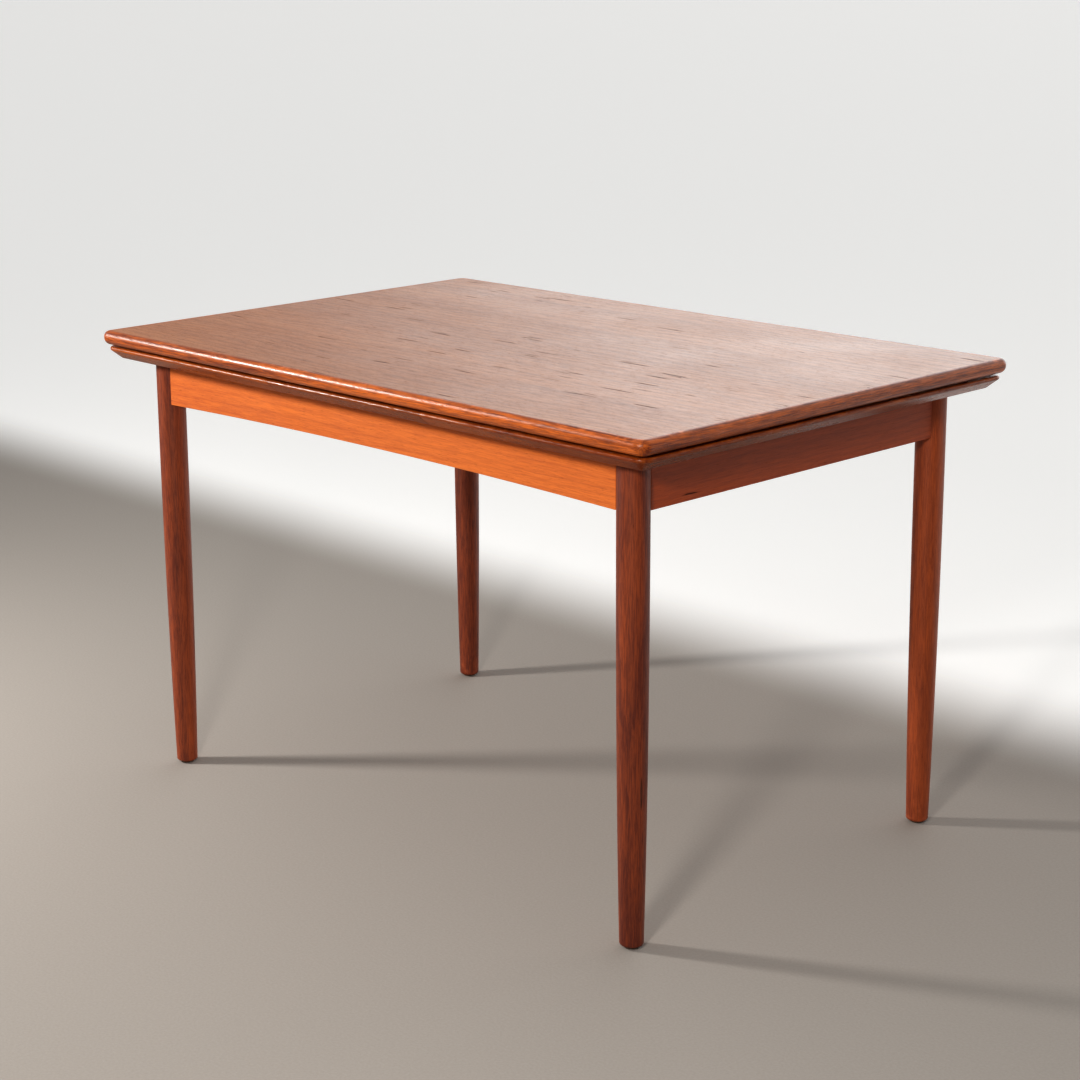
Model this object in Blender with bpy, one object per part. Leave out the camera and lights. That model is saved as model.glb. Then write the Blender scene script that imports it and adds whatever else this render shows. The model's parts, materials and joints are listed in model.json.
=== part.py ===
"""Draw-leaf dining table: a loose top over a fixed centre board and two leaves that pull out of the ends.

Each leaf is screwed to two sloping runners. They run through notches in the end apron and the cross rails, so
the leaf climbs as it is drawn and comes out level with the top. Lengths are in metres, +Z is up, +X runs along
the table and -Y is its front. The origin is on the floor under the middle of the table.
"""

import math

import bmesh
import bpy
from mathutils import Vector

# Driving dimensions of the top and the leaves
TABLE_HEIGHT = 0.735
TOP_LENGTH = 1.200
TOP_WIDTH = 0.800
TOP_THICKNESS = 0.022
TOP_LIPPING_WIDTH = 0.0115
TOP_CORNER_RADIUS = 0.018
TOP_UPPER_ROUND = 0.009
TOP_LOWER_ROUND = 0.011
TOP_GAP = 0.003  # air between the loose top and the leaves
LEAF_THICKNESS = 0.020
LEAF_SET_BACK = 0.006  # from the top's outline in to the leaves' outline
LEAF_EDGE_WIDTH = 0.020  # solid edge of a leaf, which is also its corner radius
LEAF_NOSE_HEIGHT = 0.007  # rounded nose above the long undercut
LEAF_EDGE_LAND = 0.001  # flat strip left where the undercut meets the underside
CENTRE_BOARD_LENGTH = 0.340
BOARD_JOINT = 0.001  # open joint between the centre board and a leaf

# Driving dimensions of the frame
LEG_INSET_X = 0.086  # leg axis in from the top's end
LEG_INSET_Y = 0.075  # leg axis in from the top's long side
LEG_RADIUS = 0.0228
LEG_FOOT_RADIUS = 0.017
LEG_SWELL = 2.7  # power of the taper: the upper leg stays nearly straight
LEG_FOOT_ROUND = 0.004
GLIDE_HEIGHT = 0.003
GLIDE_RADIUS = 0.011
GLIDE_CHAMFER = 0.00075
APRON_HEIGHT = 0.073
APRON_THICKNESS = 0.020
APRON_SET_BACK = 0.0085  # apron face in from the leg's outer tangent
APRON_ARCH_RISE = 0.008
CORNER_BLOCK_THICKNESS = 0.026
CORNER_BLOCK_HEIGHT = 0.050
CORNER_BLOCK_CLEARANCE = 0.003  # the bolt draws the leg towards the block across this space
BOLT_RADIUS = 0.004
BOLT_DEPTH_IN_LEG = 0.018
WASHER_RADIUS = 0.010
WASHER_THICKNESS = 0.0015
NUT_CORNER_RADIUS = 0.0075
NUT_HEIGHT = 0.0065
BOLT_TIP = 0.004
CROSS_RAIL_THICKNESS = 0.020
CROSS_RAIL_HEIGHT = 0.060  # less than the aprons', so that it stays out of sight above their arch
CROSS_RAIL_FROM_BOARD_EDGE = 0.025  # rail's middle in from the centre board's end

# Driving dimensions of the runners, guide pegs and small parts
RUNNER_WIDTH = 0.022
RUNNER_DEPTH = 0.012  # at the inner face of the end apron
RUNNER_END_RECESS = 0.002  # runner's outer end inside the apron's face
RUNNER_FROM_LEG = 0.123  # outer runner's middle in from the leg axis
RUNNER_SPACING = 0.055  # from one leaf's runner to the other leaf's
RUNNER_TAIL_DROP = 0.001
RUNNER_SIDE_CLEARANCE = 0.001
RUNNER_SEAT_CLEARANCE = 0.0005
STOP_LENGTH = 0.030
STOP_WIDTH = 0.008
STOP_INSET = 0.004  # stop's faces in from the runner's upper and lower faces
PEG_RADIUS = 0.008
PEG_CLEARANCE = 0.0012
PEG_BELOW_BOARD = 0.015
PEG_COLLAR_RADIUS = 0.013
PEG_COLLAR_THICKNESS = 0.0022
PEG_CHAMFER = 0.002
PEG_ROOF = 0.0055  # wood left above a peg's blind hole in the top
PEG_END_CLEARANCE = 0.001
PEG_FROM_RUNNER = 0.060
FELT_RADIUS = 0.015
FELT_FROM_LEG = 0.028
FELT_FROM_BOARD_END = 0.050
SCREW_RADIUS = 0.002
SCREW_HEAD_RADIUS = 0.0042
SCREW_HEAD_HEIGHT = 0.0028
SCREW_LENGTH = 0.040
SCREW_STRAIGHT_SHARE = 0.85  # of a screw's length before its point starts
SCREW_POINT_RADIUS = 0.00067
SCREW_FROM_LEG = 0.068

# Clearances and smoothness
FIT_GAP = 0.0003  # between faces that touch on the real table
SEAT_GAP = 0.0004  # between the boards and the frame under them
ROUND_SIDES = 24
SMALL_SIDES = 12
CORNER_STEPS = 4
NOSE_STEPS = 5
ARCH_STEPS = 12
FOOT_STEPS = 3
LEG_STEPS = 11
LEG_STEP_POWER = 1.3  # more puts the steps nearer to the foot, where the leg curves
CUTTER_MARGIN = 0.0015  # how far a cutter stands out of the face that it cuts
LEG_SPACE_MARGIN = 0.018

# Sizes and places that follow
UNDERSIDE_Z = TABLE_HEIGHT - TOP_THICKNESS - TOP_GAP - LEAF_THICKNESS
BOARD_TOP_Z = UNDERSIDE_Z + LEAF_THICKNESS
TOP_UNDERSIDE_Z = TABLE_HEIGHT - TOP_THICKNESS
LEG_X = TOP_LENGTH / 2 - LEG_INSET_X
LEG_Y = TOP_WIDTH / 2 - LEG_INSET_Y
LEAF_HALF_WIDTH = TOP_WIDTH / 2 - LEAF_SET_BACK
LEAF_START_X = CENTRE_BOARD_LENGTH / 2 + BOARD_JOINT
LEAF_LENGTH = TOP_LENGTH / 2 - LEAF_SET_BACK - LEAF_START_X
LEAF_TRAVEL = TOP_LENGTH / 2 + BOARD_JOINT - LEAF_START_X
LEAF_CLIMB = TOP_THICKNESS + TOP_GAP
RUNNER_SLOPE = LEAF_CLIMB / LEAF_TRAVEL
APRON_FACE = LEG_RADIUS - APRON_SET_BACK  # apron's outer face, out from the leg axis
APRON_INNER = APRON_FACE - APRON_THICKNESS
APRON_TOP = -SEAT_GAP
APRON_BOTTOM = -SEAT_GAP - APRON_HEIGHT
CROSS_RAIL_X = CENTRE_BOARD_LENGTH / 2 - CROSS_RAIL_FROM_BOARD_EDGE
RUNNER_OUTER_Y = LEG_Y - RUNNER_FROM_LEG
RUNNER_INNER_Y = RUNNER_OUTER_Y - RUNNER_SPACING
PEG_Y = RUNNER_INNER_Y - PEG_FROM_RUNNER
CORNERS = {"front_left": (-1, -1), "front_right": (1, -1), "back_left": (-1, 1), "back_right": (1, 1)}

FINISHES = {  # colour, roughness, metallic
    "teak_veneer": ((0.47, 0.24, 0.12), 0.35, 0.0),
    "teak_lipping": ((0.42, 0.14, 0.04), 0.30, 0.0),
    "teak_frame": ((0.36, 0.11, 0.035), 0.35, 0.0),
    "teak_leg": ((0.28, 0.07, 0.025), 0.32, 0.0),
    "beech": ((0.60, 0.42, 0.25), 0.60, 0.0),
    "zinc_steel": ((0.62, 0.62, 0.60), 0.35, 1.0),
    "felt": ((0.10, 0.16, 0.09), 0.95, 0.0),
    "glide_plastic": ((0.12, 0.07, 0.04), 0.50, 0.0),
}


# ------------------------------------------------------------------ helpers
def clear_scene():
    for obj in list(bpy.data.objects):
        bpy.data.objects.remove(obj, do_unlink=True)


def make_finish(name):
    """A Principled material for one finish, made the first time it is asked for."""
    if name in bpy.data.materials:
        return bpy.data.materials[name]
    colour, roughness, metallic = FINISHES[name]
    finish = bpy.data.materials.new(name)
    finish.use_nodes = True
    shader = finish.node_tree.nodes["Principled BSDF"]
    shader.inputs["Base Color"].default_value = (*colour, 1.0)
    shader.inputs["Roughness"].default_value = roughness
    shader.inputs["Metallic"].default_value = metallic
    return finish


def make_frame(name, location=(0, 0, 0), turn=0.0):
    """An empty that carries one moving body, on the axis of its joint."""
    frame = bpy.data.objects.new(name, None)
    frame.location = location
    frame.rotation_euler.z = turn
    bpy.context.collection.objects.link(frame)
    return frame


def mesh_from(bm, name):
    bmesh.ops.remove_doubles(bm, verts=bm.verts, dist=1e-6)
    bmesh.ops.recalc_face_normals(bm, faces=bm.faces)
    mesh = bpy.data.meshes.new(name)
    bm.to_mesh(mesh)
    bm.free()
    return mesh


def place(name, mesh, finish, frame, location=(0, 0, 0), turn=0.0):
    """Put a named piece in its body's frame, turned about its own vertical axis."""
    obj = bpy.data.objects.new(name, mesh)
    if not mesh.materials:
        mesh.materials.append(make_finish(finish))
    obj.parent = frame
    obj.location = location
    obj.rotation_euler.z = turn
    bpy.context.collection.objects.link(obj)
    return obj


def place_cutter(name, mesh, location=(0, 0, 0), turn=0.0):
    """A hidden solid that only cuts other pieces."""
    cutter = bpy.data.objects.new(name, mesh)
    cutter.location = location
    cutter.rotation_euler.z = turn
    cutter.hide_render = True
    cutter.display_type = "WIRE"
    bpy.context.collection.objects.link(cutter)
    return cutter


def cut(obj, cutters):
    for cutter in cutters:
        modifier = obj.modifiers.new("Cut " + cutter.name, "BOOLEAN")
        modifier.operation = "DIFFERENCE"
        modifier.solver = "EXACT"
        modifier.object = cutter


def skin_rings(rings):
    """Join closed rings of points into one solid, with a flat face over each end."""
    bm = bmesh.new()
    loops = [[bm.verts.new(point) for point in ring] for ring in rings]
    for near, far in zip(loops, loops[1:]):
        for i in range(len(near)):
            j = (i + 1) % len(near)
            bm.faces.new((near[i], near[j], far[j], far[i]))
    bm.faces.new(loops[0])
    bm.faces.new(loops[-1])
    return bm


def arc(centre, radius, start, end, steps):
    """Points from one angle to another round a centre, both ends included."""
    for step in range(steps + 1):
        angle = start + (end - start) * step / steps
        yield centre[0] + radius * math.cos(angle), centre[1] + radius * math.sin(angle)


def prism(name, outline, low, high, along="Z"):
    """Push a flat outline along one axis; the outline's two numbers are the other two axes, in order."""
    seats = {
        "X": lambda a, b, t: (t, a, b),
        "Y": lambda a, b, t: (a, t, b),
        "Z": lambda a, b, t: (a, b, t),
    }
    rings = [[seats[along](a, b, t) for a, b in outline] for t in (low, high)]
    return mesh_from(skin_rings(rings), name)


def hexagon(corner_radius):
    """Radius of a hexagon at each angle, for a turned solid that has a nut on it."""
    def radius_at(angle):
        from_flat = (angle + math.pi / 6) % (math.pi / 3) - math.pi / 6
        return corner_radius * math.cos(math.pi / 6) / math.cos(from_flat)
    return radius_at


def turned(name, profile, sides=ROUND_SIDES, along="Z"):
    """Turn (radius, height) pairs about an axis; a radius may be a function of the angle."""
    rings = []
    for radius, height in profile:
        ring = []
        for side in range(sides):
            angle = 2 * math.pi * side / sides
            reach = radius(angle) if callable(radius) else radius
            a, b = reach * math.cos(angle), reach * math.sin(angle)
            ring.append((a, b, height) if along == "Z" else (height, a, b))
        rings.append(ring)
    mesh = mesh_from(skin_rings(rings), name)
    mesh.shade_smooth()
    mesh.set_sharp_from_angle(angle=math.radians(35))
    return mesh


def mitred_ring(profile, end_x, outward, half_width, radius, turn):
    """One cross-section of a lipping, a share of the way round its corner to the mitre."""
    ring = []
    for inset, z in profile:
        reach = radius - inset
        if reach > FIT_GAP / math.sqrt(2):
            angle = turn * (math.pi / 4 - math.asin(FIT_GAP / 2 / reach))
            along = reach * math.sin(angle) - radius
            across = radius - reach * math.cos(angle)
        else:
            along = reach - FIT_GAP / math.sqrt(2) - radius
            across = inset
        ring.append((end_x + outward * along, across - half_width, z))
    return ring


def lipping(name, profile, start, end, half_width, radius=None):
    """Run an edge profile along the side that faces -Y.

    start and end are (x, mitred): a mitred end goes half-way round the rounded corner, any other is square.
    """
    rings = []
    for (end_x, mitred), outward in ((start, -1), (end, 1)):
        if mitred:
            turns = [step / CORNER_STEPS for step in range(CORNER_STEPS + 1)]
            part = [mitred_ring(profile, end_x, outward, half_width, radius, turn) for turn in turns]
        else:
            part = [[(end_x, inset - half_width, z) for inset, z in profile]]
        rings += part[::-1] if outward < 0 else part
    return mesh_from(skin_rings(rings), name)


# ------------------------------------------------------------------ edge profiles, as (inset, height)
def top_edge_profile():
    """Full rounded edge of the loose top."""
    upper, lower = TOP_UPPER_ROUND, TOP_LOWER_ROUND
    points = [(TOP_LIPPING_WIDTH, 0.0), (TOP_LIPPING_WIDTH, TOP_THICKNESS)]
    points += arc((upper, TOP_THICKNESS - upper), upper, math.pi / 2, math.pi, NOSE_STEPS)
    points += arc((lower, lower), lower, math.pi, 3 * math.pi / 2, NOSE_STEPS)
    return points


def leaf_edge_profile():
    """Thin rounded nose over a long undercut, on the leaves and the centre board."""
    nose = LEAF_NOSE_HEIGHT / 2
    undercut_run = LEAF_EDGE_WIDTH - LEAF_EDGE_LAND - nose
    slope = math.atan2(LEAF_THICKNESS - LEAF_NOSE_HEIGHT, undercut_run)
    points = [(LEAF_EDGE_WIDTH, 0.0), (LEAF_EDGE_WIDTH, LEAF_THICKNESS)]
    points += arc((nose, LEAF_THICKNESS - nose), nose, math.pi / 2, 3 * math.pi / 2 - slope, NOSE_STEPS)
    points.append((LEAF_EDGE_WIDTH - LEAF_EDGE_LAND, 0.0))
    return points


# ------------------------------------------------------------------ runners, seen from a leaf's own frame
# A leaf's frame sits under the middle of its inner edge. Its +X points out of the table along the draw.
END_APRON_INNER_X = LEG_X + APRON_INNER - LEAF_START_X
RUNNER_END_X = LEG_X + APRON_FACE - RUNNER_END_RECESS - LEAF_START_X
NEAR_RAIL_INNER_X = CROSS_RAIL_X - CROSS_RAIL_THICKNESS / 2 - LEAF_START_X
STOP_FACE_X = NEAR_RAIL_INNER_X - LEAF_TRAVEL
RUNNER_TAIL_X = STOP_FACE_X - STOP_LENGTH
LEAF_RUNNER_Y = (RUNNER_INNER_Y, -RUNNER_OUTER_Y)


def runner_bottom(x):
    """Height of a runner's lower face, which stays parallel to the draw."""
    return -RUNNER_DEPTH + (x - END_APRON_INNER_X) * RUNNER_SLOPE


def runner_tail_top(x):
    """Height of the tail's upper face, which slides under the centre board's edge."""
    return -RUNNER_TAIL_DROP + x * RUNNER_SLOPE


def runner_notch(leaf_side, runner_y, rail_side):
    """A cross rail's notch for a leaf's runner: (low y, high y, floor height) from the boards' underside."""
    y = leaf_side * runner_y
    low = y - RUNNER_WIDTH / 2 - RUNNER_SIDE_CLEARANCE
    high = y + RUNNER_WIDTH / 2 + RUNNER_SIDE_CLEARANCE
    rail_x = leaf_side * rail_side * CROSS_RAIL_X - CROSS_RAIL_THICKNESS / 2 - LEAF_START_X
    if leaf_side != rail_side:  # the stop travels through the far rail
        room = STOP_WIDTH + FIT_GAP
        low, high = (low - room, high) if y > 0 else (low, high + room)
    return low, high, runner_bottom(rail_x) - RUNNER_SEAT_CLEARANCE


def notched_outline(half_length, notches, top, bottom):
    """A board's face outline with open notches let down from its top edge."""
    outline = [(-half_length, top), (-half_length, bottom), (half_length, bottom), (half_length, top)]
    for low, high, floor in sorted(notches, reverse=True):
        outline += [(high, top), (high, floor), (low, floor), (low, top)]
    return outline


# ------------------------------------------------------------------ the fixed frame
def leg_radius_at(share):
    """Leg radius at a share of its height: slim at the foot, nearly straight above."""
    return LEG_RADIUS - (LEG_RADIUS - LEG_FOOT_RADIUS) * (1 - share) ** LEG_SWELL


def leg_mesh():
    foot = GLIDE_HEIGHT + FIT_GAP
    height = UNDERSIDE_Z - SEAT_GAP - foot
    first_share = LEG_FOOT_ROUND / height
    start = leg_radius_at(first_share)
    centre = (start - LEG_FOOT_ROUND, LEG_FOOT_ROUND)
    rounding = arc(centre, LEG_FOOT_ROUND, -math.pi / 2, 0, FOOT_STEPS)
    profile = [(radius, foot + z) for radius, z in rounding]
    for step in range(1, LEG_STEPS + 1):
        share = first_share + (1 - first_share) * (step / LEG_STEPS) ** LEG_STEP_POWER
        profile.append((leg_radius_at(share), foot + height * share))
    return turned("leg", profile)


def leg_cutter_mesh():
    """Room for a leg in the ends of the aprons, facet for facet."""
    top, bottom = UNDERSIDE_Z + APRON_TOP, UNDERSIDE_Z + APRON_BOTTOM
    radius = LEG_RADIUS + FIT_GAP
    return turned("leg_space", [(radius, bottom - LEG_SPACE_MARGIN), (radius, top + LEG_SPACE_MARGIN)])


def block_faces():
    """How far a corner block's outer and inner faces stand from the leg axis, along the diagonal."""
    outer = LEG_RADIUS + CORNER_BLOCK_CLEARANCE
    return outer, outer + CORNER_BLOCK_THICKNESS


def corner_block_mesh():
    """Diagonal block whose ends lie against both aprons, with the leg axis at its frame's origin."""
    outer, inner = block_faces()
    face = APRON_INNER - FIT_GAP
    far, near = -math.sqrt(2) * inner - face, -math.sqrt(2) * outer - face
    outline = [(near, face), (far, face), (face, far), (face, near)]
    return prism("corner_block", outline, -CORNER_BLOCK_HEIGHT / 2, CORNER_BLOCK_HEIGHT / 2)


def bolt_mesh():
    """Hanger bolt with its washer and nut tightened on it, lying along +X away from the leg."""
    seat = block_faces()[1] + FIT_GAP
    nut_start = seat + WASHER_THICKNESS
    nut_end = nut_start + NUT_HEIGHT
    nut = hexagon(NUT_CORNER_RADIUS)
    profile = [
        (BOLT_RADIUS, LEG_RADIUS - BOLT_DEPTH_IN_LEG + FIT_GAP),
        (BOLT_RADIUS, seat),
        (WASHER_RADIUS, seat),
        (WASHER_RADIUS, nut_start),
        (nut, nut_start),
        (nut, nut_end),
        (BOLT_RADIUS, nut_end),
        (BOLT_RADIUS, nut_end + BOLT_TIP),
    ]
    return turned("leg_bolt", profile, SMALL_SIDES, along="X")


def bolt_cutter_mesh():
    radius = BOLT_RADIUS + FIT_GAP
    reach = block_faces()[1] + CORNER_BLOCK_CLEARANCE
    return turned("bolt_hole", [(radius, LEG_RADIUS - BOLT_DEPTH_IN_LEG), (radius, reach)], SMALL_SIDES, "X")


def glide_mesh():
    profile = [(GLIDE_RADIUS - GLIDE_CHAMFER, 0), (GLIDE_RADIUS, GLIDE_CHAMFER), (GLIDE_RADIUS, GLIDE_HEIGHT)]
    return turned("foot_glide", profile)


def build_corners(frame):
    """Legs, glides, corner blocks and leg bolts; returns the cutters that make room for the legs."""
    legs, glides = leg_mesh(), glide_mesh()
    blocks, bolts = corner_block_mesh(), bolt_mesh()
    spaces, holes = leg_cutter_mesh(), bolt_cutter_mesh()
    bolt_z = UNDERSIDE_Z + (APRON_TOP + APRON_BOTTOM) / 2
    leg_spaces = {}
    for corner, (x, y) in CORNERS.items():
        inward = math.atan2(-y, -x)
        at_floor = (x * LEG_X, y * LEG_Y, 0)
        at_bolt = (x * LEG_X, y * LEG_Y, bolt_z)
        leg_spaces[corner] = place_cutter("leg_space_" + corner, spaces, at_floor)
        hole = place_cutter("bolt_hole_" + corner, holes, at_bolt, inward)
        leg = place("leg_" + corner, legs, "teak_leg", frame, at_floor)
        cut(leg, [hole])
        place("foot_glide_" + corner, glides, "glide_plastic", frame, at_floor)
        block = place("corner_block_" + corner, blocks, "beech", frame, at_bolt, inward + 3 * math.pi / 4)
        cut(block, [hole])
        place("leg_bolt_" + corner, bolts, "zinc_steel", frame, at_bolt, inward)
    return leg_spaces


def long_apron_mesh():
    """Long apron whose lower edge rises in a flat arch between the legs."""
    half = LEG_X
    outline = [(half, APRON_TOP), (-half, APRON_TOP)]
    for step in range(ARCH_STEPS + 1):
        x = -half + 2 * half * step / ARCH_STEPS
        outline.append((x, APRON_BOTTOM + APRON_ARCH_RISE * (1 - (x / half) ** 2)))
    return prism("long_apron", outline, -APRON_THICKNESS / 2, APRON_THICKNESS / 2, along="Y")


def end_apron_mesh():
    """End apron with an open notch for each runner, as the right-hand leaf has them."""
    floor = -RUNNER_DEPTH - RUNNER_SEAT_CLEARANCE
    reach = RUNNER_WIDTH / 2 + RUNNER_SIDE_CLEARANCE
    notches = [(y - reach, y + reach, floor) for y in LEAF_RUNNER_Y]
    outline = notched_outline(LEG_Y, notches, APRON_TOP, APRON_BOTTOM)
    return prism("end_apron", outline, -APRON_THICKNESS / 2, APRON_THICKNESS / 2, along="X")


def build_aprons(frame, leg_spaces):
    middle = APRON_FACE - APRON_THICKNESS / 2
    long_apron, end_apron = long_apron_mesh(), end_apron_mesh()
    for side, y in (("front", -1), ("back", 1)):
        location = (0, y * (LEG_Y + middle), UNDERSIDE_Z)
        apron = place("apron_" + side, long_apron, "teak_frame", frame, location)
        cut(apron, [leg_spaces[side + "_left"], leg_spaces[side + "_right"]])
    for side, x in (("left", -1), ("right", 1)):
        location = (x * (LEG_X + middle), 0, UNDERSIDE_Z)
        turn = math.pi if x < 0 else 0.0
        apron = place("apron_" + side, end_apron, "teak_frame", frame, location, turn)
        cut(apron, [leg_spaces["front_" + side], leg_spaces["back_" + side]])


def screw_profile(clearance=0.0, above=0.0):
    """Countersunk wood screw from its head down; a clearance makes its hole."""
    return [
        (SCREW_HEAD_RADIUS + clearance, above),
        (SCREW_HEAD_RADIUS + clearance, -clearance),
        (SCREW_RADIUS + clearance, -SCREW_HEAD_HEIGHT - clearance),
        (SCREW_RADIUS + clearance, -SCREW_LENGTH * SCREW_STRAIGHT_SHARE),
        (SCREW_POINT_RADIUS + clearance, -SCREW_LENGTH - clearance),
    ]


def build_rails_and_board(frame):
    """Cross rails, the centre board with its lippings and screws, and the felt that the top lies on."""
    half = CENTRE_BOARD_LENGTH / 2
    reach = LEAF_HALF_WIDTH - LEAF_EDGE_WIDTH - FIT_GAP
    outline = [(-half, -reach), (half, -reach), (half, reach), (-half, reach)]
    board_mesh = prism("centre_board", outline, 0, LEAF_THICKNESS)
    board = place("centre_board", board_mesh, "teak_veneer", frame, (0, 0, UNDERSIDE_Z))
    edge = lipping("board_lipping", leaf_edge_profile(), (-half, False), (half, False), LEAF_HALF_WIDTH)
    for side, turn in (("front", 0.0), ("back", math.pi)):
        place("centre_board_lipping_" + side, edge, "teak_lipping", frame, (0, 0, UNDERSIDE_Z), turn)

    hole_radius = PEG_RADIUS + PEG_CLEARANCE
    through = [(hole_radius, UNDERSIDE_Z - CUTTER_MARGIN), (hole_radius, BOARD_TOP_Z + CUTTER_MARGIN)]
    peg_hole = turned("peg_hole", through)
    for side, y in (("front", -1), ("back", 1)):
        cut(board, [place_cutter("peg_hole_" + side, peg_hole, (0, y * PEG_Y, 0))])

    rail_half = LEG_Y + APRON_INNER - FIT_GAP
    screw = turned("board_screw", screw_profile(), SMALL_SIDES)
    screw_hole = turned("screw_hole", screw_profile(FIT_GAP, CUTTER_MARGIN), SMALL_SIDES)
    felt_height = TOP_GAP - 2 * FIT_GAP
    felt = turned("felt_pad", [(FELT_RADIUS, 0), (FELT_RADIUS, felt_height)])
    for side, x in (("left", -1), ("right", 1)):
        notches = [runner_notch(leaf, y, x) for leaf in (-1, 1) for y in LEAF_RUNNER_Y]
        outline = notched_outline(rail_half, notches, APRON_TOP, APRON_TOP - CROSS_RAIL_HEIGHT)
        half_thickness = CROSS_RAIL_THICKNESS / 2
        rail_mesh = prism("cross_rail_" + side, outline, -half_thickness, half_thickness, along="X")
        rail = place("cross_rail_" + side, rail_mesh, "beech", frame, (x * CROSS_RAIL_X, 0, UNDERSIDE_Z))
        for end, y in (("front", -1), ("back", 1)):
            corner = end + "_" + side
            head = (x * CROSS_RAIL_X, y * (LEG_Y - SCREW_FROM_LEG), BOARD_TOP_Z - FIT_GAP)
            hole = place_cutter("screw_hole_" + corner, screw_hole, head)
            cut(board, [hole])
            cut(rail, [hole])
            place("board_screw_" + corner, screw, "zinc_steel", frame, head)
            pad = (x * (half - FELT_FROM_BOARD_END), y * (LEG_Y - FELT_FROM_LEG), BOARD_TOP_Z + FIT_GAP)
            place("felt_pad_" + corner, felt, "felt", frame, pad)


# ------------------------------------------------------------------ the moving bodies
def runner_mesh():
    outline = [
        (RUNNER_END_X, -FIT_GAP),
        (0.0, -FIT_GAP),
        (0.0, runner_tail_top(0.0)),
        (RUNNER_TAIL_X, runner_tail_top(RUNNER_TAIL_X)),
        (RUNNER_TAIL_X, runner_bottom(RUNNER_TAIL_X)),
        (RUNNER_END_X, runner_bottom(RUNNER_END_X)),
    ]
    return prism("runner", outline, -RUNNER_WIDTH / 2, RUNNER_WIDTH / 2, along="Y")


def stop_mesh():
    """Block on a runner's tail that meets the near cross rail when the leaf is fully drawn."""
    outline = []
    for x in (RUNNER_TAIL_X, STOP_FACE_X):
        outline.append((x, runner_bottom(x) + STOP_INSET))
    for x in (STOP_FACE_X, RUNNER_TAIL_X):
        outline.append((x, runner_tail_top(x) - STOP_INSET))
    return prism("stop", outline, -STOP_WIDTH / 2, STOP_WIDTH / 2, along="Y")


def build_leaf(side, frame):
    """One leaf: a veneered panel, three mitred lippings, two runners and their stops."""
    core_width = LEAF_HALF_WIDTH - LEAF_EDGE_WIDTH - FIT_GAP
    core_length = LEAF_LENGTH - LEAF_EDGE_WIDTH - FIT_GAP
    corners = [(0, -core_width), (core_length, -core_width), (core_length, core_width), (0, core_width)]
    name = "leaf_" + side
    place(name + "_panel", prism(name + "_panel", corners, 0, LEAF_THICKNESS), "teak_veneer", frame)

    # The right leaf's own -Y side is the table's front; the left leaf is turned round.
    minus_y, plus_y = ("front", "back") if side == "right" else ("back", "front")
    profile, radius = leaf_edge_profile(), LEAF_EDGE_WIDTH
    inner, outer = (0.0, False), (LEAF_LENGTH, True)
    along = lipping(name + "_side", profile, inner, outer, LEAF_HALF_WIDTH, radius)
    place(f"{name}_{minus_y}_lipping", along, "teak_lipping", frame)
    along = lipping(name + "_side", profile, (-LEAF_LENGTH, True), inner, LEAF_HALF_WIDTH, radius)
    place(f"{name}_{plus_y}_lipping", along, "teak_lipping", frame, turn=math.pi)
    ends = (-LEAF_HALF_WIDTH, True), (LEAF_HALF_WIDTH, True)
    across = lipping(name + "_end", profile, *ends, LEAF_LENGTH, radius)
    place(name + "_end_lipping", across, "teak_lipping", frame, turn=math.pi / 2)

    runner, stop = runner_mesh(), stop_mesh()
    for y in LEAF_RUNNER_Y:
        end = minus_y if y < 0 else plus_y
        place(f"{name}_runner_{end}", runner, "beech", frame, (0, y, 0))
        towards_middle = -math.copysign(RUNNER_WIDTH / 2 + FIT_GAP + STOP_WIDTH / 2, y)
        place(f"{name}_stop_{end}", stop, "beech", frame, (0, y + towards_middle, 0))


def build_pegs(frame, hinge):
    """Loose pegs that stand in the centre board and guide the top as it lifts."""
    top = TABLE_HEIGHT - PEG_ROOF - PEG_END_CLEARANCE
    bottom = UNDERSIDE_Z - PEG_BELOW_BOARD
    collar = BOARD_TOP_Z + FIT_GAP
    profile = [
        (PEG_RADIUS - PEG_CHAMFER, bottom),
        (PEG_RADIUS, bottom + PEG_CHAMFER),
        (PEG_RADIUS, collar),
        (PEG_COLLAR_RADIUS, collar),
        (PEG_COLLAR_RADIUS, collar + PEG_COLLAR_THICKNESS),
        (PEG_RADIUS, collar + PEG_COLLAR_THICKNESS),
        (PEG_RADIUS, top - PEG_CHAMFER),
        (PEG_RADIUS - PEG_CHAMFER, top),
    ]
    mesh = turned("guide_peg", profile)
    for side, y in (("front", -1), ("back", 1)):
        location = Vector((0, y * PEG_Y, 0)) - Vector(hinge)
        place("guide_peg_" + side, mesh, "beech", frame, location)


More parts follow.
